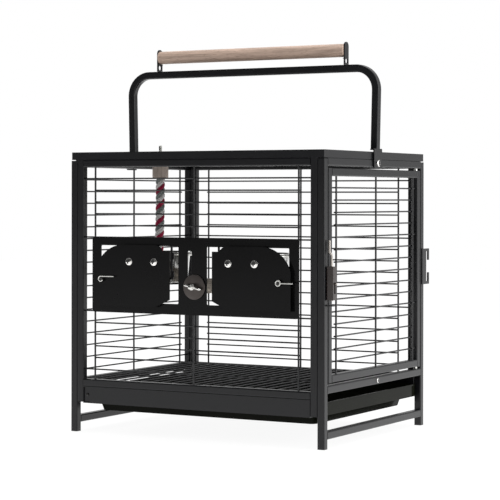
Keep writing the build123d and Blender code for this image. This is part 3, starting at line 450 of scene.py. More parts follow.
def drawn_metal_group():
    """Fine lines left by drawing or polishing: noise stretched along one axis of the vector, and stains."""
    tree, entry, exit_node = group(
        "Drawn metal",
        [("Stretch", VECTOR, (40.0, 1200.0, 1200.0)), ("Colour", COLOUR, None), ("Stain", COLOUR, None),
         ("Roughness", VALUE, 0.3)],
        [("Colour", COLOUR), ("Roughness", VALUE), ("Height", VALUE)],
    )
    where = node(tree, "ShaderNodeTexCoord")
    line_map = node(tree, "ShaderNodeVectorMath", [(0, where.outputs["Object"]), (1, entry.outputs["Stretch"])],
                    operation="MULTIPLY")
    lines = node(tree, "ShaderNodeTexNoise", [("Vector", line_map.outputs[0]), ("Scale", 1.0), ("Detail", 3.0)])
    stains = node(tree, "ShaderNodeTexNoise", [("Vector", where.outputs["Object"]), ("Scale", 60.0),
                                               ("Detail", 4.0)])
    share = node(tree, "ShaderNodeMapRange", [("Value", stains.outputs["Fac"]), ("From Min", 0.4),
                                              ("From Max", 0.8), ("To Max", 0.7)])
    colour = node(tree, "ShaderNodeMix", data_type="RGBA")
    tree.links.new(share.outputs[0], colour.inputs[0])
    tree.links.new(entry.outputs["Colour"], colour.inputs[6])
    tree.links.new(entry.outputs["Stain"], colour.inputs[7])
    swing = node(tree, "ShaderNodeMath", [(0, lines.outputs["Fac"]), (1, 0.5)], operation="SUBTRACT")
    rough = node(tree, "ShaderNodeMath", [(0, swing.outputs[0]), (1, 0.18), (2, entry.outputs["Roughness"])],
                 operation="MULTIPLY_ADD")
    tree.links.new(colour.outputs[2], exit_node.inputs[0])
    tree.links.new(rough.outputs[0], exit_node.inputs[1])
    tree.links.new(lines.outputs["Fac"], exit_node.inputs[2])
    return tree


def material(name):
    """An empty material. Returns it with its tree and its Principled shader."""
    made = bpy.data.materials.new(name)
    made.use_nodes = True
    return made, made.node_tree, made.node_tree.nodes["Principled BSDF"]


def bumped(tree, shader, height, strength, distance):
    bump = node(tree, "ShaderNodeBump", [("Height", height), ("Strength", strength), ("Distance", distance)])
    tree.links.new(bump.outputs[0], shader.inputs["Normal"])


def rgba(colour):
    return (*colour[:3], 1.0)


def coated(name, skin, colour, worn, roughness, peel_size, peel_depth, spread=0.08, specular=0.5, coat=0.0):
    """A sprayed or moulded finish on the coat skin."""
    made, tree, shader = material(name)
    shader.inputs["Specular IOR Level"].default_value = specular
    shader.inputs["Coat Weight"].default_value = coat
    shader.inputs["Coat Roughness"].default_value = 0.08
    look = node(tree, "ShaderNodeGroup", node_tree=skin)
    for label, value in (("Peel size", peel_size), ("Colour", rgba(colour)), ("Worn colour", rgba(worn)),
                         ("Roughness", roughness), ("Spread", spread)):
        look.inputs[label].default_value = value
    tree.links.new(look.outputs["Colour"], shader.inputs["Base Color"])
    tree.links.new(look.outputs["Roughness"], shader.inputs["Roughness"])
    bumped(tree, shader, look.outputs["Height"], 0.35, peel_depth * MM)
    return made


def metal(name, drawn, colour, stain, roughness, stretch, line_depth=0.01):
    """A bare or plated metal with drawn lines."""
    made, tree, shader = material(name)
    shader.inputs["Metallic"].default_value = 1.0
    look = node(tree, "ShaderNodeGroup", node_tree=drawn)
    for label, value in (("Stretch", stretch), ("Colour", rgba(colour)), ("Stain", rgba(stain)),
                         ("Roughness", roughness)):
        look.inputs[label].default_value = value
    tree.links.new(look.outputs["Colour"], shader.inputs["Base Color"])
    tree.links.new(look.outputs["Roughness"], shader.inputs["Roughness"])
    bumped(tree, shader, look.outputs["Height"], 0.4, line_depth * MM)
    return made


def latch_with_painted_shade(drawn):
    """Folded latch housing: a bright nickel flange behind a box painted dark brown and not metallic, which is painted
    shade on the same plated steel; split where the flange begins.
    """
    made = metal("Latch steel with painted shade on box", drawn, (0.72, 0.71, 0.69), (0.55, 0.54, 0.52), 0.2, (300.0, 300.0, 300.0))
    tree = made.node_tree
    shader = tree.nodes["Principled BSDF"]
    look = next(each for each in tree.nodes if each.type == "GROUP")
    where = node(tree, "ShaderNodeTexCoord")
    split = node(tree, "ShaderNodeSeparateXYZ", [("Vector", where.outputs["Object"])])
    flange = node(tree, "ShaderNodeMath", [(0, split.outputs[1]), (1, LATCH_FLANGE_Y * MM + MIDDLE[1])],
                  operation="GREATER_THAN")
    # The dark brown on the box side of the split is painted shade, not a colour of the steel.
    colour = node(tree, "ShaderNodeMix", [(0, flange.outputs[0]), (6, (0.021, 0.014, 0.012, 1.0)),
                                          (7, look.outputs["Colour"])], data_type="RGBA")
    tree.links.new(colour.outputs[2], shader.inputs["Base Color"])
    tree.links.new(flange.outputs[0], shader.inputs["Metallic"])
    return made


def wooden(name, grain, light, dark, pore, turn, roughness):
    """A wood whose grain runs along the object axis that the turn brings to x."""
    made, tree, shader = material(name)
    shader.inputs["Roughness"].default_value = roughness
    shader.inputs["Specular IOR Level"].default_value = 0.35
    where = node(tree, "ShaderNodeTexCoord")
    aim = node(tree, "ShaderNodeMapping", [("Vector", where.outputs["Object"]), ("Rotation", turn)])
    look = node(tree, "ShaderNodeGroup", [("Vector", aim.outputs[0])], node_tree=grain)
    for label, value in (("Light", rgba(light)), ("Dark", rgba(dark)), ("Pore", rgba(pore))):
        look.inputs[label].default_value = value
    tree.links.new(look.outputs["Colour"], shader.inputs["Base Color"])
    bumped(tree, shader, look.outputs["Height"], 0.5, 0.08 * MM)
    return made


def spun_yarn(name, colour, groove_shade_and_second_colour, strands=26.0, lay=9.0):
    """Twisted cotton: stripes of yarn that wind round a strand on its own UV map, with fuzz in between. The darker
    colour between the stripes is painted shade in the grooves between yarns; in the green strand it is that yarn's
    own green.
    """
    made, tree, shader = material(name)
    shader.inputs["Roughness"].default_value = 0.9
    shader.inputs["Specular IOR Level"].default_value = 0.15
    shader.inputs["Sheen Weight"].default_value = 0.25
    where = node(tree, "ShaderNodeTexCoord")
    split = node(tree, "ShaderNodeSeparateXYZ", [("Vector", where.outputs["UV"])])
    along = node(tree, "ShaderNodeMath", [(0, split.outputs[1]), (1, strands * lay)], operation="MULTIPLY")
    phase = node(tree, "ShaderNodeMath", [(0, split.outputs[0]), (1, lay), (2, along.outputs[0])],
                 operation="MULTIPLY_ADD")
    whole = node(tree, "ShaderNodeMath", [(0, phase.outputs[0]), (1, 2 * math.pi)], operation="MULTIPLY")
    wave = node(tree, "ShaderNodeMath", [(0, whole.outputs[0])], operation="SINE")
    fuzz = node(tree, "ShaderNodeTexNoise", [("Vector", where.outputs["Object"]), ("Scale", 1400.0),
                                             ("Detail", 3.0)])
    share = node(tree, "ShaderNodeMapRange", [("Value", wave.outputs[0]), ("From Min", -1.0), ("From Max", 1.0)])
    mixed = node(tree, "ShaderNodeMath", [(0, share.outputs[0]), (1, fuzz.outputs["Fac"])], operation="MULTIPLY")
    base = node(tree, "ShaderNodeMix", data_type="RGBA")
    # The darker colour in the troughs of the stripes is painted groove shade; the green strand puts its own green
    # there.
    base.inputs[6].default_value = rgba(groove_shade_and_second_colour)
    base.inputs[7].default_value = rgba(colour)
    spread = node(tree, "ShaderNodeMapRange", [("Value", mixed.outputs[0]), ("From Min", 0.0), ("From Max", 0.55)])
    tree.links.new(spread.outputs[0], base.inputs[0])
    tree.links.new(base.outputs[2], shader.inputs["Base Color"])
    bumped(tree, shader, mixed.outputs[0], 0.8, 0.35 * MM)
    return made


# Sizes and colours that a user would change

class CageFinish(bpy.types.PropertyGroup):
    """Colours of the cage."""

    powder: bpy.props.FloatVectorProperty(
        name="Powder coat", description="Colour of tubes, lid and covers", subtype="COLOR", size=3, min=0, max=1,
        default=(0.0045, 0.0046, 0.0056))
    wire: bpy.props.FloatVectorProperty(
        name="Wire coat", description="Colour of the grilles", subtype="COLOR", size=3, min=0, max=1,
        default=(0.005, 0.005, 0.006))
    enamel: bpy.props.FloatVectorProperty(
        name="Sheet enamel", description="Colour of the feeder plate and doors", subtype="COLOR", size=3, min=0,
        max=1, default=(0.0035, 0.0034, 0.0036))
    grip: bpy.props.FloatVectorProperty(
        name="Grip wood", description="Light colour of the handle's grip", subtype="COLOR", size=3, min=0, max=1,
        default=(0.56, 0.41, 0.325))
    perch: bpy.props.FloatVectorProperty(
        name="Perch wood", description="Light colour of the perch", subtype="COLOR", size=3, min=0, max=1,
        default=(0.62, 0.55, 0.47))
    block: bpy.props.FloatVectorProperty(
        name="Toy block wood", description="Light colour of the toy's block", subtype="COLOR", size=3, min=0,
        max=1, default=(0.55, 0.46, 0.40))
    crimson: bpy.props.FloatVectorProperty(
        name="First strand", description="Colour of the rope's first strand", subtype="COLOR", size=3, min=0,
        max=1, default=(0.44, 0.016, 0.07))
    white: bpy.props.FloatVectorProperty(
        name="Second strand", description="Colour of the rope's second strand", subtype="COLOR", size=3, min=0,
        max=1, default=(0.84, 0.82, 0.81))
    green: bpy.props.FloatVectorProperty(
        name="Third strand", description="Colour of the rope's third strand", subtype="COLOR", size=3, min=0,
        max=1, default=(0.02, 0.06, 0.055))


class CageSizes(bpy.types.PropertyGroup):
    """Sizes of the pieces made here, in millimetres as in the part's source."""

    grip_radius: bpy.props.FloatProperty(name="Grip radius", description="Radius of the wooden grip, mm",
                                         default=10.5, min=8, max=14)
    perch_radius: bpy.props.FloatProperty(name="Perch radius", description="Radius of the perch, mm",
                                          default=11.5, min=8, max=13)
    rope_radius: bpy.props.FloatProperty(name="Rope radius", description="Radius of the toy's rope, mm",
                                         default=7.5, min=4, max=9)
    rope_lay: bpy.props.FloatProperty(name="Rope lay", description="Length of one turn of the strands, mm",
                                      default=26.0, min=20, max=80)
    cup_rim: bpy.props.FloatProperty(name="Cup rim radius", description="Radius of the cups' rolled rim, mm",
                                     default=47.5, min=45, max=50)


FINISHES = {}


def finish_of(name):
    if name not in FINISHES:
        raise RuntimeError(f"the finish {name} isn't made yet: run Make finishes first")
    return FINISHES[name]


class CAGE_OT_finishes(bpy.types.Operator):
    """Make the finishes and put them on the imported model's nodes"""

    bl_idname = "cage.finishes"
    bl_label = "Make finishes"

    def execute(self, context):
        look = context.scene.cage_finish
        skin, grain, drawn = coat_skin_group(), wood_grain_group(), drawn_metal_group()
        powder, wire, enamel = look.powder, look.wire, look.enamel
        FINISHES.update({
            "powder": coated("Black powder coat", skin, powder, [c * 1.5 for c in powder], 0.3, 1100.0, 0.05,
                             specular=0.32),
            "wire": coated("Black coat on wire", skin, wire, [c * 1.6 for c in wire], 0.38, 900.0, 0.05),
            "enamel": coated("Black gloss enamel", skin, enamel, [c * 1.3 for c in enamel], 0.2, 260.0, 0.03, specular=0.12),
            "tray": coated("Black gloss plastic", skin, (0.005, 0.0055, 0.0035), (0.008, 0.009, 0.006), 0.12,
                           180.0, 0.03, specular=0.03),
            "cap": coated("Black moulded plastic", skin, (0.012, 0.012, 0.012), (0.02, 0.02, 0.02), 0.5,
                          1300.0, 0.08),
            # One dark finish: the tray cover screw's own black oxide, and painted shade in the screws' cross recesses
            # and the feeder latches' eyes.
            "recess": coated("Black oxide and painted recess shade", skin, (0.012, 0.012, 0.012), (0.03, 0.028, 0.026), 0.42, 1500.0, 0.02),
            "zinc": metal("Bright zinc", drawn, (0.66, 0.66, 0.63), (0.42, 0.42, 0.40), 0.30,
                          (900.0, 900.0, 60.0)),
            "chrome": metal("Nickel plate", drawn, (0.78, 0.77, 0.75), (0.6, 0.59, 0.57), 0.16,
                            (300.0, 300.0, 300.0), 0.004),
            "washer": metal("Rolled washer steel", drawn, (0.09, 0.08, 0.076), (0.06, 0.052, 0.047), 0.36,
                            (500.0, 500.0, 500.0)),
            "rod": metal("Dull plated rod", drawn, (0.36, 0.335, 0.31), (0.2, 0.18, 0.165), 0.26,
                         (900.0, 900.0, 60.0)),
            "latch box": latch_with_painted_shade(drawn),
            "stainless": metal("Spun stainless steel", drawn, (0.42, 0.42, 0.41), (0.33, 0.33, 0.32), 0.12,
                               (30.0, 30.0, 1500.0)),
            "grip": wooden("Grip wood", grain, look.grip, [c * 0.62 for c in look.grip], (0.13, 0.07, 0.045),
                           (0, 0, 0), 0.52),
            "perch": wooden("Perch wood", grain, look.perch, [c * 0.6 for c in look.perch], (0.12, 0.075, 0.045),
                            (0, 0, math.pi / 2), 0.62),
            "block": wooden("Toy block wood", grain, look.block, [c * 0.66 for c in look.block],
                            (0.13, 0.08, 0.05), (0, math.pi / 2, 0), 0.6),
            # The crimson and white strands take darker copies of their colours as painted groove shade.
            "crimson": spun_yarn("Crimson yarn", look.crimson, [c * 0.35 for c in look.crimson]),
            "white": spun_yarn("White yarn", look.white, [c * 0.5 for c in look.white]),
            "green": spun_yarn("Green and white yarn", [c * 0.45 for c in look.white], look.green),
        })
        by_slot = {
            "black_powder_coat": "powder", "black_wire": "wire", "black_gloss_sheet": "enamel", "zinc": "zinc",
            "chrome_screw": "chrome", "stainless_cup": "stainless", "grip_wood": "grip", "perch_wood": "perch",
            "rope_cotton": "white", "tray_plastic": "tray", "cap_plastic": "cap",
        }
        for row in frame["record"]["subparts"]:
            mesh = frame["nodes"][row["node"]].data
            mesh.materials.clear()
            mesh.materials.append(FINISHES[by_slot[row["material_slot"]]])
        # The latch box takes the plated steel with painted shade on its box.
        box = frame["nodes"]["side_latch_box"].data
        box.materials.clear()
        box.materials.append(FINISHES["latch box"])
        return {"FINISHED"}


def settle(thing, body, slot, *nodes):
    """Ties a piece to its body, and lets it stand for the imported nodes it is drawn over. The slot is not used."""
    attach(thing, body)
    if nodes:
        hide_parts(*nodes)
    return thing


FORWARD, RIGHT, UP = (0, -1, 0), (1, 0, 0), (0, 0, 1)
DOOR_FRONT = -184.7


class CAGE_OT_grip(bpy.types.Operator):
    """Turn the wooden grip of the handle"""

    bl_idname = "cage.grip"
    bl_label = "Handle grip"

    def execute(self, context):
        radius, half, centre = context.scene.cage_sizes.grip_radius, 173.1, (0, 0, 607.0)
        corners = [(4.1, 11.5 - half), (4.1, -half), (radius, -half), (radius, half), (4.1, half), (4.1, half - 11.5)]
        profile = rounded(corners, [0.4, 1.4, 1.4, 0.4])
        grip = piece("wooden_grip", [turned(profile, centre, RIGHT, 96)], [finish_of("grip")])
        settle(grip, "handle", "grip_wood", "handle_grip")
        return {"FINISHED"}


class CAGE_OT_perch(bpy.types.Operator):
    """Turn the perch, its washer and its threaded bolt"""

    bl_idname = "cage.perch"
    bl_label = "Perch and its bolt"

    def execute(self, context):
        radius, x, z = context.scene.cage_sizes.perch_radius, 3.2, 236.2
        start, end = -175.9, 109.1
        corners = [(3.1, 20), (3.1, 0), (radius, 0), (radius, end - start), (0.02, end - start)]
        dowel = turned(rounded(corners, [0.3, 0.8, 1.6]), (x, start, z), (0, 1, 0), 96)
        perch = piece("perch_dowel", [dowel], [finish_of("perch")])
        settle(perch, "perch", "perch_wood", "perch")
        disc = rounded([(3.1, 0), (19.5, 0), (19.5, 2), (3.1, 2)], [0.7, 0.7])
        washer = piece("perch_washer_disc", [turned(disc, (x, -178.0, z), FORWARD, 96)], [finish_of("washer")])
        settle(washer, "perch", "chrome_screw", "perch_washer")
        screw = threaded((x, -165.0, z), FORWARD, 2.98, 29.7, 1.0, 0.55)
        shank = turned([(0.02, 0), (2.98, 0), (2.98, 20), (0.02, 20)], (x, -145.9, z), FORWARD, 40)
        bolt = piece("perch_bolt_thread", [screw, shank], [finish_of("zinc")])
        settle(bolt, "perch", "zinc", "perch_bolt")
        return {"FINISHED"}


class CAGE_OT_wing_nut(bpy.types.Operator):
    """Cast the wing nut of the perch"""

    bl_idname = "cage.wing_nut"
    bl_label = "Wing nut"

    def execute(self, context):
        centre, lean = np.array([3.2, -180.4, 236.2]), math.radians(-13.0)
        hub = rounded([(3.2, 0), (5.6, 0), (4.6, 7.6), (3.2, 7.6)], [0.6, 0.9])
        shapes = [turned(hub, centre, FORWARD, 64)]
        out = np.array([math.cos(lean), 0.0, math.sin(lean)])
        for side in (1, -1):
            ear = smooth_loop([(2.6, 0.6), (5.4, 0.8), (9.5, 1.6), (14.8, 2.6), (16.0, 5.2), (12.8, 7.6),
                               (8.4, 7.2), (4.4, 6.8), (2.6, 6.2)])
            first, second = out * side, np.array(FORWARD, float)
            normal = np.cross(first, second)
            shapes.append(slab(ear, centre - normal * 1.6, first, second, 3.2, 1.3))
        nut = piece("wing_nut_cast", shapes, [finish_of("chrome")])
        settle(nut, "wing_nut", "chrome_screw", "wing_nut")
        return {"FINISHED"}


class CAGE_OT_screws(bpy.types.Operator):
    """Make the screws of the feeder doors, the handle, the tray cover and the rail"""

    bl_idname = "cage.screws"
    bl_label = "Screws"

    def execute(self, context):
        chrome, recess = finish_of("chrome"), finish_of("recess")
        for side, sign in (("left", -1), ("right", 1)):
            shapes, recess_shades = [], []
            for x in (67.0, 113.0):
                foot = np.array([sign * x, DOOR_FRONT, 273.8])
                washer = rounded([(2.0, 0), (6.0, 0), (6.0, 1.0), (2.0, 1.0)], [0.3, 0.4])
                shapes += [turned(washer, foot, FORWARD, 64), pan_head(foot + [0, -1, 0], FORWARD, 4.5, 3.2, 3.0)]
                # The dark plus is painted shade in the cross recess.
                recess_shades.append(painted_recess_shade(foot + [0, -1, 0], FORWARD, 3.4, 3.3))
                back = foot + [0, 3.0, 0]
                shapes += [hex_nut(back, (0, 1, 0), 8.0, 3.1, 2.0),
                           turned([(0.02, 0), (1.95, 0), (1.95, 7.2), (0.02, 7.2)], foot, (0, 1, 0), 24)]
            screws = piece(f"feeder_screw_heads_{side}", recess_shades + shapes, [recess] * len(recess_shades) + [chrome])
            settle(screws, f"feeder_door_{side}", "chrome_screw", f"feeder_screws_{side}")
        shapes, recess_shades = [], []
        for sign in (-1, 1):
            foot, out = np.array([sign * 230.9, 0.0, 428.0]), np.array([sign, 0.0, 0.0])
            # The dark plus is painted shade in the cross recess.
            recess_shades.append(painted_recess_shade(foot, out, 3.8, 2.5))
            shapes += [pan_head(foot, out, 5.25, 2.4, 3.2),
                       turned([(0.02, 0), (2.95, 0), (2.95, 3.5), (0.02, 3.5)], foot - out * 3.5, out, 32)]
        heads = piece("handle_screw_heads", recess_shades + shapes, [recess] * len(recess_shades) + [chrome])
        settle(heads, "cage", "chrome_screw", "handle_screws")
        # The dark plus is painted shade in the cross recess.
        rail = [painted_recess_shade((228.5, 3.4, 88.0), RIGHT, 2.7, 2.1), pan_head((228.5, 3.4, 88.0), RIGHT, 3.75, 2.0, 2.4),
                turned([(0.02, 0), (1.45, 0), (1.45, 7.5), (0.02, 7.5)], (221.0, 3.4, 88.0), RIGHT, 24)]
        settle(piece("rail_screw_head", rail, [recess, chrome]), "cage", "chrome_screw", "side_rail_screw")
        cover = [pan_head((-198.0, -175.0, 59.75), FORWARD, 2.5, 2.0, 1.5),
                 turned([(0.02, 0), (1.45, 0), (1.45, 7.5), (0.02, 7.5)], (-198.0, -167.5, 59.75), FORWARD, 24)]
        settle(piece("cover_screw_head", cover, [recess]), "cage", "black_powder_coat", "tray_cover_screw")
        return {"FINISHED"}


class CAGE_OT_feeder_latches(bpy.types.Operator):
    """Bend the wire latches of the two feeder doors"""

    bl_idname = "cage.feeder_latches"
    bl_label = "Feeder latches"

    def execute(self, context):
        z, eye_y, wire, eye = 246.0, -189.5, 1.1, 3.9
        for side, x, reach in (("left", -163.5, 15.5), ("right", 156.0, 23.0)):
            centre = np.array([x, eye_y, z])
            if side == "left":
                bend = arc(centre, eye, 330, 90, RIGHT, UP, 40)
                far = np.linspace(bend[-1], centre + [25, 0, eye], 16)
                shapes = [carried(np.concatenate([bend, far[1:]]), circle(wire))]
            else:
                ring = arc(centre, eye, 0, 360, RIGHT, UP, 49)[:-1]
                far = np.linspace(centre + [eye, 0, 0], centre + [25, 0, 0], 12)
                shapes = [carried(ring, circle(wire), closed=True), carried(far, circle(wire))]
            # The disc fills the eye's hole with the dark recess finish: painted shade in the eye.
            eye_shade_disc = rounded([(0.02, -1.4), (3.1, -1.4), (3.1, 0.3), (0.02, 0.3)], [0.2, 0.2])
            pin = turned([(0.02, 0), (1.95, 0), (1.95, 15.2), (0.02, 15.2)], (x, -174.4, z), FORWARD, 32)
            outline = smooth_loop([(-3, 3.4), (3, 3.4), (3, 0), (2.4, -reach), (-2.4, -reach), (-3, 0)], 6)
            cam = slab(outline, (x, -173.9, z), RIGHT, UP, 2.0, 0.4)
            shapes = [turned(eye_shade_disc, centre, FORWARD, 40), *shapes, pin, cam]
            latch = piece(f"feeder_latch_wire_{side}", shapes, [finish_of("recess"), finish_of("zinc")])
            settle(latch, f"feeder_latch_{side}", "zinc", f"feeder_latch_{side}")
        return {"FINISHED"}


class CAGE_OT_side_latch(bpy.types.Operator):
    """Bend the bolt of the side latch"""

    bl_idname = "cage.side_latch"
    bl_label = "Side latch bolt"

    def execute(self, context):
        x, y = 234.8, -167.0
        route = [(x, y, 221.5), (x, y, 250.0), (x, y, 284.0), (x, y, 290.0), (x - 3, y - 1.5, 293.0),
                 (x - 3, y - 1.5, 299.0), (x - 3, y - 1.5, 310.0)]
        path, length = evenly(smooth_route(route, 16), 90)
        bolt = carried(path, circle(1.98, 24))
        tips = [turned(rounded([(0.02, 1.0), (1.98, 1.0), (1.98, 0.0)], [0.8])[::-1], path[-1], UP, 24),
                turned(rounded([(0.02, -1.0), (1.98, -1.0), (1.98, 0.0)], [0.8]), path[0], UP, 24)]
        thumb = turned(rounded([(0.02, 0), (1.5, 0), (1.5, 9.0), (0.02, 9.0)], [0.1, 0.7]), (x, y, 246.0), RIGHT, 24)
        latch = piece("side_latch_bent_bolt", [bolt, *tips, thumb], [finish_of("rod")])
        settle(latch, "side_latch_bolt", "zinc", "side_latch_bolt")
        return {"FINISHED"}


class CAGE_OT_cups(bpy.types.Operator):
    """Spin the two feeder cups with their rolled rims"""

    bl_idname = "cage.cups"
    bl_label = "Feeder cups"

    def execute(self, context):
        rim, wall = context.scene.cage_sizes.cup_rim, 0.7
        bead = np.radians(np.linspace(-90, 90, 10))
        rolled = np.stack([rim - 1.1 + 1.1 * np.cos(bead), 50.4 + 1.1 * np.sin(bead)], -1)
        outside = rounded([(0.02, 0.6), (30, 0.6), (32, 0), (38.5, 0), (43.0, 49.3), (rim - 1.1, 49.3)],
                          [0.8, 0.8, 4.5, 1.2])
        inside = rounded([(rim - 1.1, 51.5), (43.6, 51.5), (43.0 - wall, 50.0), (38.5 - wall, wall + 0.4),
                          (0.02, wall + 0.6)], [0.8, 1.0, 4.5])
        profile = np.concatenate([outside, rolled[1:-1], inside])
        for side, sign in (("left", -1), ("right", 1)):
            cup = piece(f"feeder_cup_spun_{side}", [turned(profile, (sign * 90.0, -121.2, 237.0), UP, 128)],
                        [finish_of("stainless")])
            settle(cup, f"feeder_cup_{side}", "stainless_cup", f"feeder_cup_{side}")
        return {"FINISHED"}


class CAGE_OT_toy(bpy.types.Operator):
    """Twist the rope toy and turn its block, bolt and nut"""

    bl_idname = "cage.toy"
    bl_label = "Rope toy"

    def execute(self, context):
        sizes = context.scene.cage_sizes
        x, y = -134.5, -60.0
        yarns = [finish_of(name) for name in ("crimson", "white", "green")]
        route = [(x, y, 405.7), (x - 0.3, y + 0.2, 372.0), (x - 1.1, y + 0.5, 336.0), (x - 2.4, y + 0.7, 300.0),
                 (x - 4.2, y + 0.6, 264.0)]
        path, length = evenly(smooth_route(route), 160)
        offset, thick = sizes.rope_radius * 0.515, sizes.rope_radius * 0.485
        strands = [strand(path, length / sizes.rope_lay, k * 2 * np.pi / 3, offset, thick) for k in range(3)]
        rope = piece("toy_rope_strands", strands, yarns, sharp=80)
        knot = self.knot(path, yarns)
        settle(rope, "cage", "rope_cotton", "toy_rope")
        settle(knot, "cage", "rope_cotton", "toy_knot")
        block_corners = [(7.7, 6), (7.7, 0), (13, 0), (13, 38.4), (2.8, 38.4)]
        wood = turned(rounded(block_corners, [0.4, 1.4, 1.4]), (x, y, 406.0), UP, 80)
        settle(piece("toy_block_turned", [wood], [finish_of("block")]), "cage", "perch_wood", "toy_block")
        thread = threaded((x, y, 416.0), UP, 2.73, 42.9, 0.9, 0.5)
        settle(piece("toy_bolt_thread", [thread], [finish_of("zinc")]), "cage", "zinc", "toy_bolt")
        nut = hex_nut((x, y, 446.05), UP, 8.2, 3.1, 2.3)
        settle(piece("toy_nut_hexagon", [nut], [finish_of("zinc")]), "cage", "zinc", "toy_nut")
        return {"FINISHED"}

    def knot(self, path, yarns):
        """An overhand knot: for each strand a trefoil line, twice wound, about the rope's own direction.

        Line = (ring radius + tube radius times cosine of three halves of the turn) times (cosine, sine) of the
        turn, with the height following the sine of three halves of the turn.
        """
        down = path[-1] - path[-2]
        down /= np.linalg.norm(down)
        first, second, _ = basis(down)
        turn = np.linspace(0, 4 * np.pi, 180, endpoint=False)
        centre = path[-1] + down * 12.5
        shapes = []
        for k in range(3):
            twist = 7 * turn / 2 + k * 2 * np.pi / 3
            reach = 5.9 + 2.6 * np.cos(1.5 * turn) + 1.9 * np.cos(twist)
            height = 8.0 * np.sin(1.5 * turn) + 1.9 * np.sin(twist)
            line = (centre + reach[:, None] * (np.cos(turn)[:, None] * first + np.sin(turn)[:, None] * second)
                    + height[:, None] * down)
            shapes.append(carried(line, circle(2.05, 14), closed=True))
        return piece("toy_rope_knot", shapes, yarns, sharp=80)


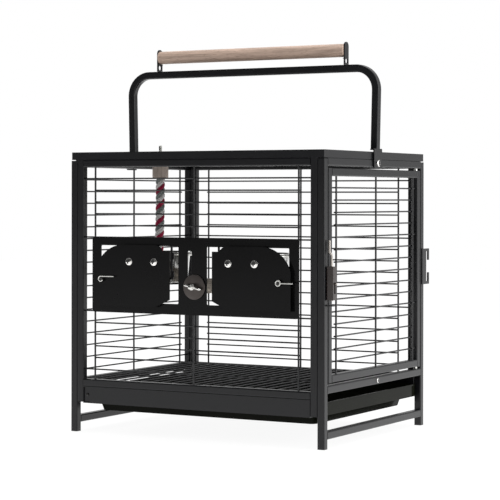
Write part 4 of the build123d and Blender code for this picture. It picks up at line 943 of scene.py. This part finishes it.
class CAGE_OT_stage(bpy.types.Operator):
    """Set the camera, the studio light and the white floor"""

    bl_idname = "cage.stage"
    bl_label = "Set the stage"

    def execute(self, context):
        scene = context.scene
        scene.view_settings.view_transform = "Standard"
        self.camera(scene)
        self.world(scene)
        self.lamps(scene)
        self.floor(scene)
        return {"FINISHED"}

    def camera(self, scene):
        """Camera solved from the photograph's frame lines: position and the three directions of its view."""
        azimuth, rise, roll = np.radians([29.121, 0.082, 0.085])
        target, shift = np.array([0.0, 0.0, 220.0]), np.array([-32.497, -150.237, 3005.338])
        back = np.array([np.sin(azimuth) * np.cos(rise), -np.cos(azimuth) * np.cos(rise), np.sin(rise)])
        level = np.array([np.cos(azimuth), np.sin(azimuth), 0.0])
        upward = np.cross(level, -back)
        right = level * np.cos(roll) + upward * np.sin(roll)
        up = -level * np.sin(roll) + upward * np.cos(roll)
        spot = place(target - (right * shift[0] + up * shift[1] - back * shift[2]))
        lens = bpy.data.cameras.new("photo camera")
        lens.sensor_width = 36.0
        lens.lens = 1848.793 / 500 * 36.0
        lens.shift_x, lens.shift_y = -0.04, -0.1
        lens.clip_start, lens.clip_end = 0.1, 50.0
        camera = bpy.data.objects.new("photo camera", lens)
        camera.matrix_world = Matrix([[right[i], up[i], back[i], spot[i]] for i in range(3)] + [[0, 0, 0, 1]])
        scene.collection.objects.link(camera)
        scene.camera = camera

    def world(self, scene):
        """White to the camera. Metal and gloss see a white studio that is darker in front, where the camera is."""
        world = bpy.data.worlds.new("white studio")
        world.use_nodes = True
        scene.world = world
        tree = world.node_tree
        light = tree.nodes["Background"]
        where = node(tree, "ShaderNodeTexCoord")
        front = node(tree, "ShaderNodeVectorMath", [(0, where.outputs["Generated"]), (1, (-0.42, -0.9, 0.12))],
                     operation="DOT_PRODUCT")
        dark = node(tree, "ShaderNodeMapRange", [("Value", front.outputs["Value"]), ("From Min", -0.1),
                                                 ("From Max", 0.75), ("To Min", 0.74), ("To Max", 0.05)],
                    interpolation_type="SMOOTHSTEP")
        path = node(tree, "ShaderNodeLightPath")
        seen = node(tree, "ShaderNodeMix", data_type="FLOAT")
        tree.links.new(path.outputs["Is Camera Ray"], seen.inputs[0])
        tree.links.new(dark.outputs[0], seen.inputs[2])
        seen.inputs[3].default_value = 1.0
        light.inputs["Color"].default_value = (1, 1, 1, 1)
        soft = node(tree, "ShaderNodeBackground", [("Color", (1.0, 1.0, 1.0, 1.0))])
        tree.links.new(seen.outputs[0], light.inputs["Strength"])
        soft.inputs["Strength"].default_value = 0.8
        mirror = node(tree, "ShaderNodeMath", [(0, path.outputs["Is Glossy Ray"]),
                                               (1, path.outputs["Is Transmission Ray"])], operation="MAXIMUM")
        shown = node(tree, "ShaderNodeMath", [(0, mirror.outputs[0]), (1, path.outputs["Is Camera Ray"])],
                     operation="MAXIMUM")
        both = node(tree, "ShaderNodeMixShader", [(0, shown.outputs[0]), (1, soft.outputs[0]),
                                                  (2, light.outputs[0])])
        tree.links.new(both.outputs[0], tree.nodes["World Output"].inputs["Surface"])

    def lamps(self, scene):
        """A large soft lamp from the right and above, a smaller one from the left behind, and a top panel."""
        for name, spot, aim, size, power in (
            ("right panel", (1900, 300, 900), (0, 0, 250), (1.4, 1.6), 24.0),
            ("left panel", (-1700, 900, 1100), (0, 0, 250), (1.2, 1.2), 14.0),
            ("top panel", (200, 200, 2200), (0, 0, 300), (1.6, 1.2), 24.0),
        ):
            lamp = bpy.data.lights.new(name, "AREA")
            lamp.shape = "RECTANGLE"
            lamp.size, lamp.size_y = size
            lamp.energy = power
            thing = bpy.data.objects.new(name, lamp)
            start, end = Vector(place(spot)), Vector(place(aim))
            thing.matrix_world = (Matrix.Translation(start)
                                  @ (end - start).to_track_quat("-Z", "Y").to_matrix().to_4x4())
            scene.collection.objects.link(thing)

    def floor(self, scene):
        """White floor: the camera sees it almost white, with a soft shadow, and gloss sees it as a lit table."""
        mesh = bpy.data.meshes.new("floor")
        half = 6.0
        mesh.from_pydata([(-half, -half, 0), (half, -half, 0), (half, half, 0), (-half, half, 0)], [],
                         [(0, 1, 2, 3)])
        made, tree, shader = material("white floor")
        shader.inputs["Base Color"].default_value = (0.8, 0.8, 0.8, 1)
        shader.inputs["Roughness"].default_value = 0.7
        shader.inputs["Specular IOR Level"].default_value = 0.1
        path = node(tree, "ShaderNodeLightPath")
        bright = node(tree, "ShaderNodeMath", [(0, path.outputs["Is Glossy Ray"]), (1, 0.5), (2, 1.08)],
                      operation="MULTIPLY_ADD")
        white = node(tree, "ShaderNodeEmission", [("Color", (1, 1, 1, 1)), ("Strength", bright.outputs[0])])
        seen = node(tree, "ShaderNodeMath", [(0, path.outputs["Is Camera Ray"]),
                                             (1, path.outputs["Is Glossy Ray"])], operation="MAXIMUM")
        share = node(tree, "ShaderNodeMath", [(0, seen.outputs[0]), (1, 0.86)], operation="MULTIPLY")
        both = node(tree, "ShaderNodeMixShader", [(0, share.outputs[0]), (1, shader.outputs[0]),
                                                  (2, white.outputs[0])])
        tree.links.new(both.outputs[0], tree.nodes["Material Output"].inputs["Surface"])
        mesh.materials.append(made)
        plane = bpy.data.objects.new("floor", mesh)
        scene.collection.objects.link(plane)


class CAGE_PT_sidebar(bpy.types.Panel):
    """Lists the sizes, the colours and the pieces"""

    bl_label = "Bird cage"
    bl_idname = "CAGE_PT_sidebar"
    bl_space_type = "VIEW_3D"
    bl_region_type = "UI"
    bl_category = "Bird cage"

    def draw(self, context):
        layout = self.layout
        for settings in (context.scene.cage_sizes, context.scene.cage_finish):
            for name in settings.bl_rna.properties.keys():
                if name not in ("rna_type", "name"):
                    layout.prop(settings, name)
        layout.operator("cage.stage")
        layout.operator("cage.finishes")
        for made in PIECES:
            layout.operator(made.bl_idname)


PIECES = [CAGE_OT_grip, CAGE_OT_perch, CAGE_OT_wing_nut, CAGE_OT_screws, CAGE_OT_feeder_latches,
          CAGE_OT_side_latch, CAGE_OT_cups, CAGE_OT_toy]
CLASSES = [CageFinish, CageSizes, CAGE_OT_stage, CAGE_OT_finishes, *PIECES, CAGE_PT_sidebar]


def register():
    for made in CLASSES:
        bpy.utils.register_class(made)
    bpy.types.Scene.cage_finish = bpy.props.PointerProperty(type=CageFinish)
    bpy.types.Scene.cage_sizes = bpy.props.PointerProperty(type=CageSizes)


def unregister():
    del bpy.types.Scene.cage_sizes
    del bpy.types.Scene.cage_finish
    for made in reversed(CLASSES):
        bpy.utils.unregister_class(made)


def main():
    register()
    bpy.ops.cage.stage()
    bpy.ops.cage.finishes()
    bpy.ops.cage.grip()
    bpy.ops.cage.perch()
    bpy.ops.cage.wing_nut()
    bpy.ops.cage.screws()
    bpy.ops.cage.feeder_latches()
    bpy.ops.cage.side_latch()
    bpy.ops.cage.cups()
    bpy.ops.cage.toy()


if __name__ == "__main__":
    main()
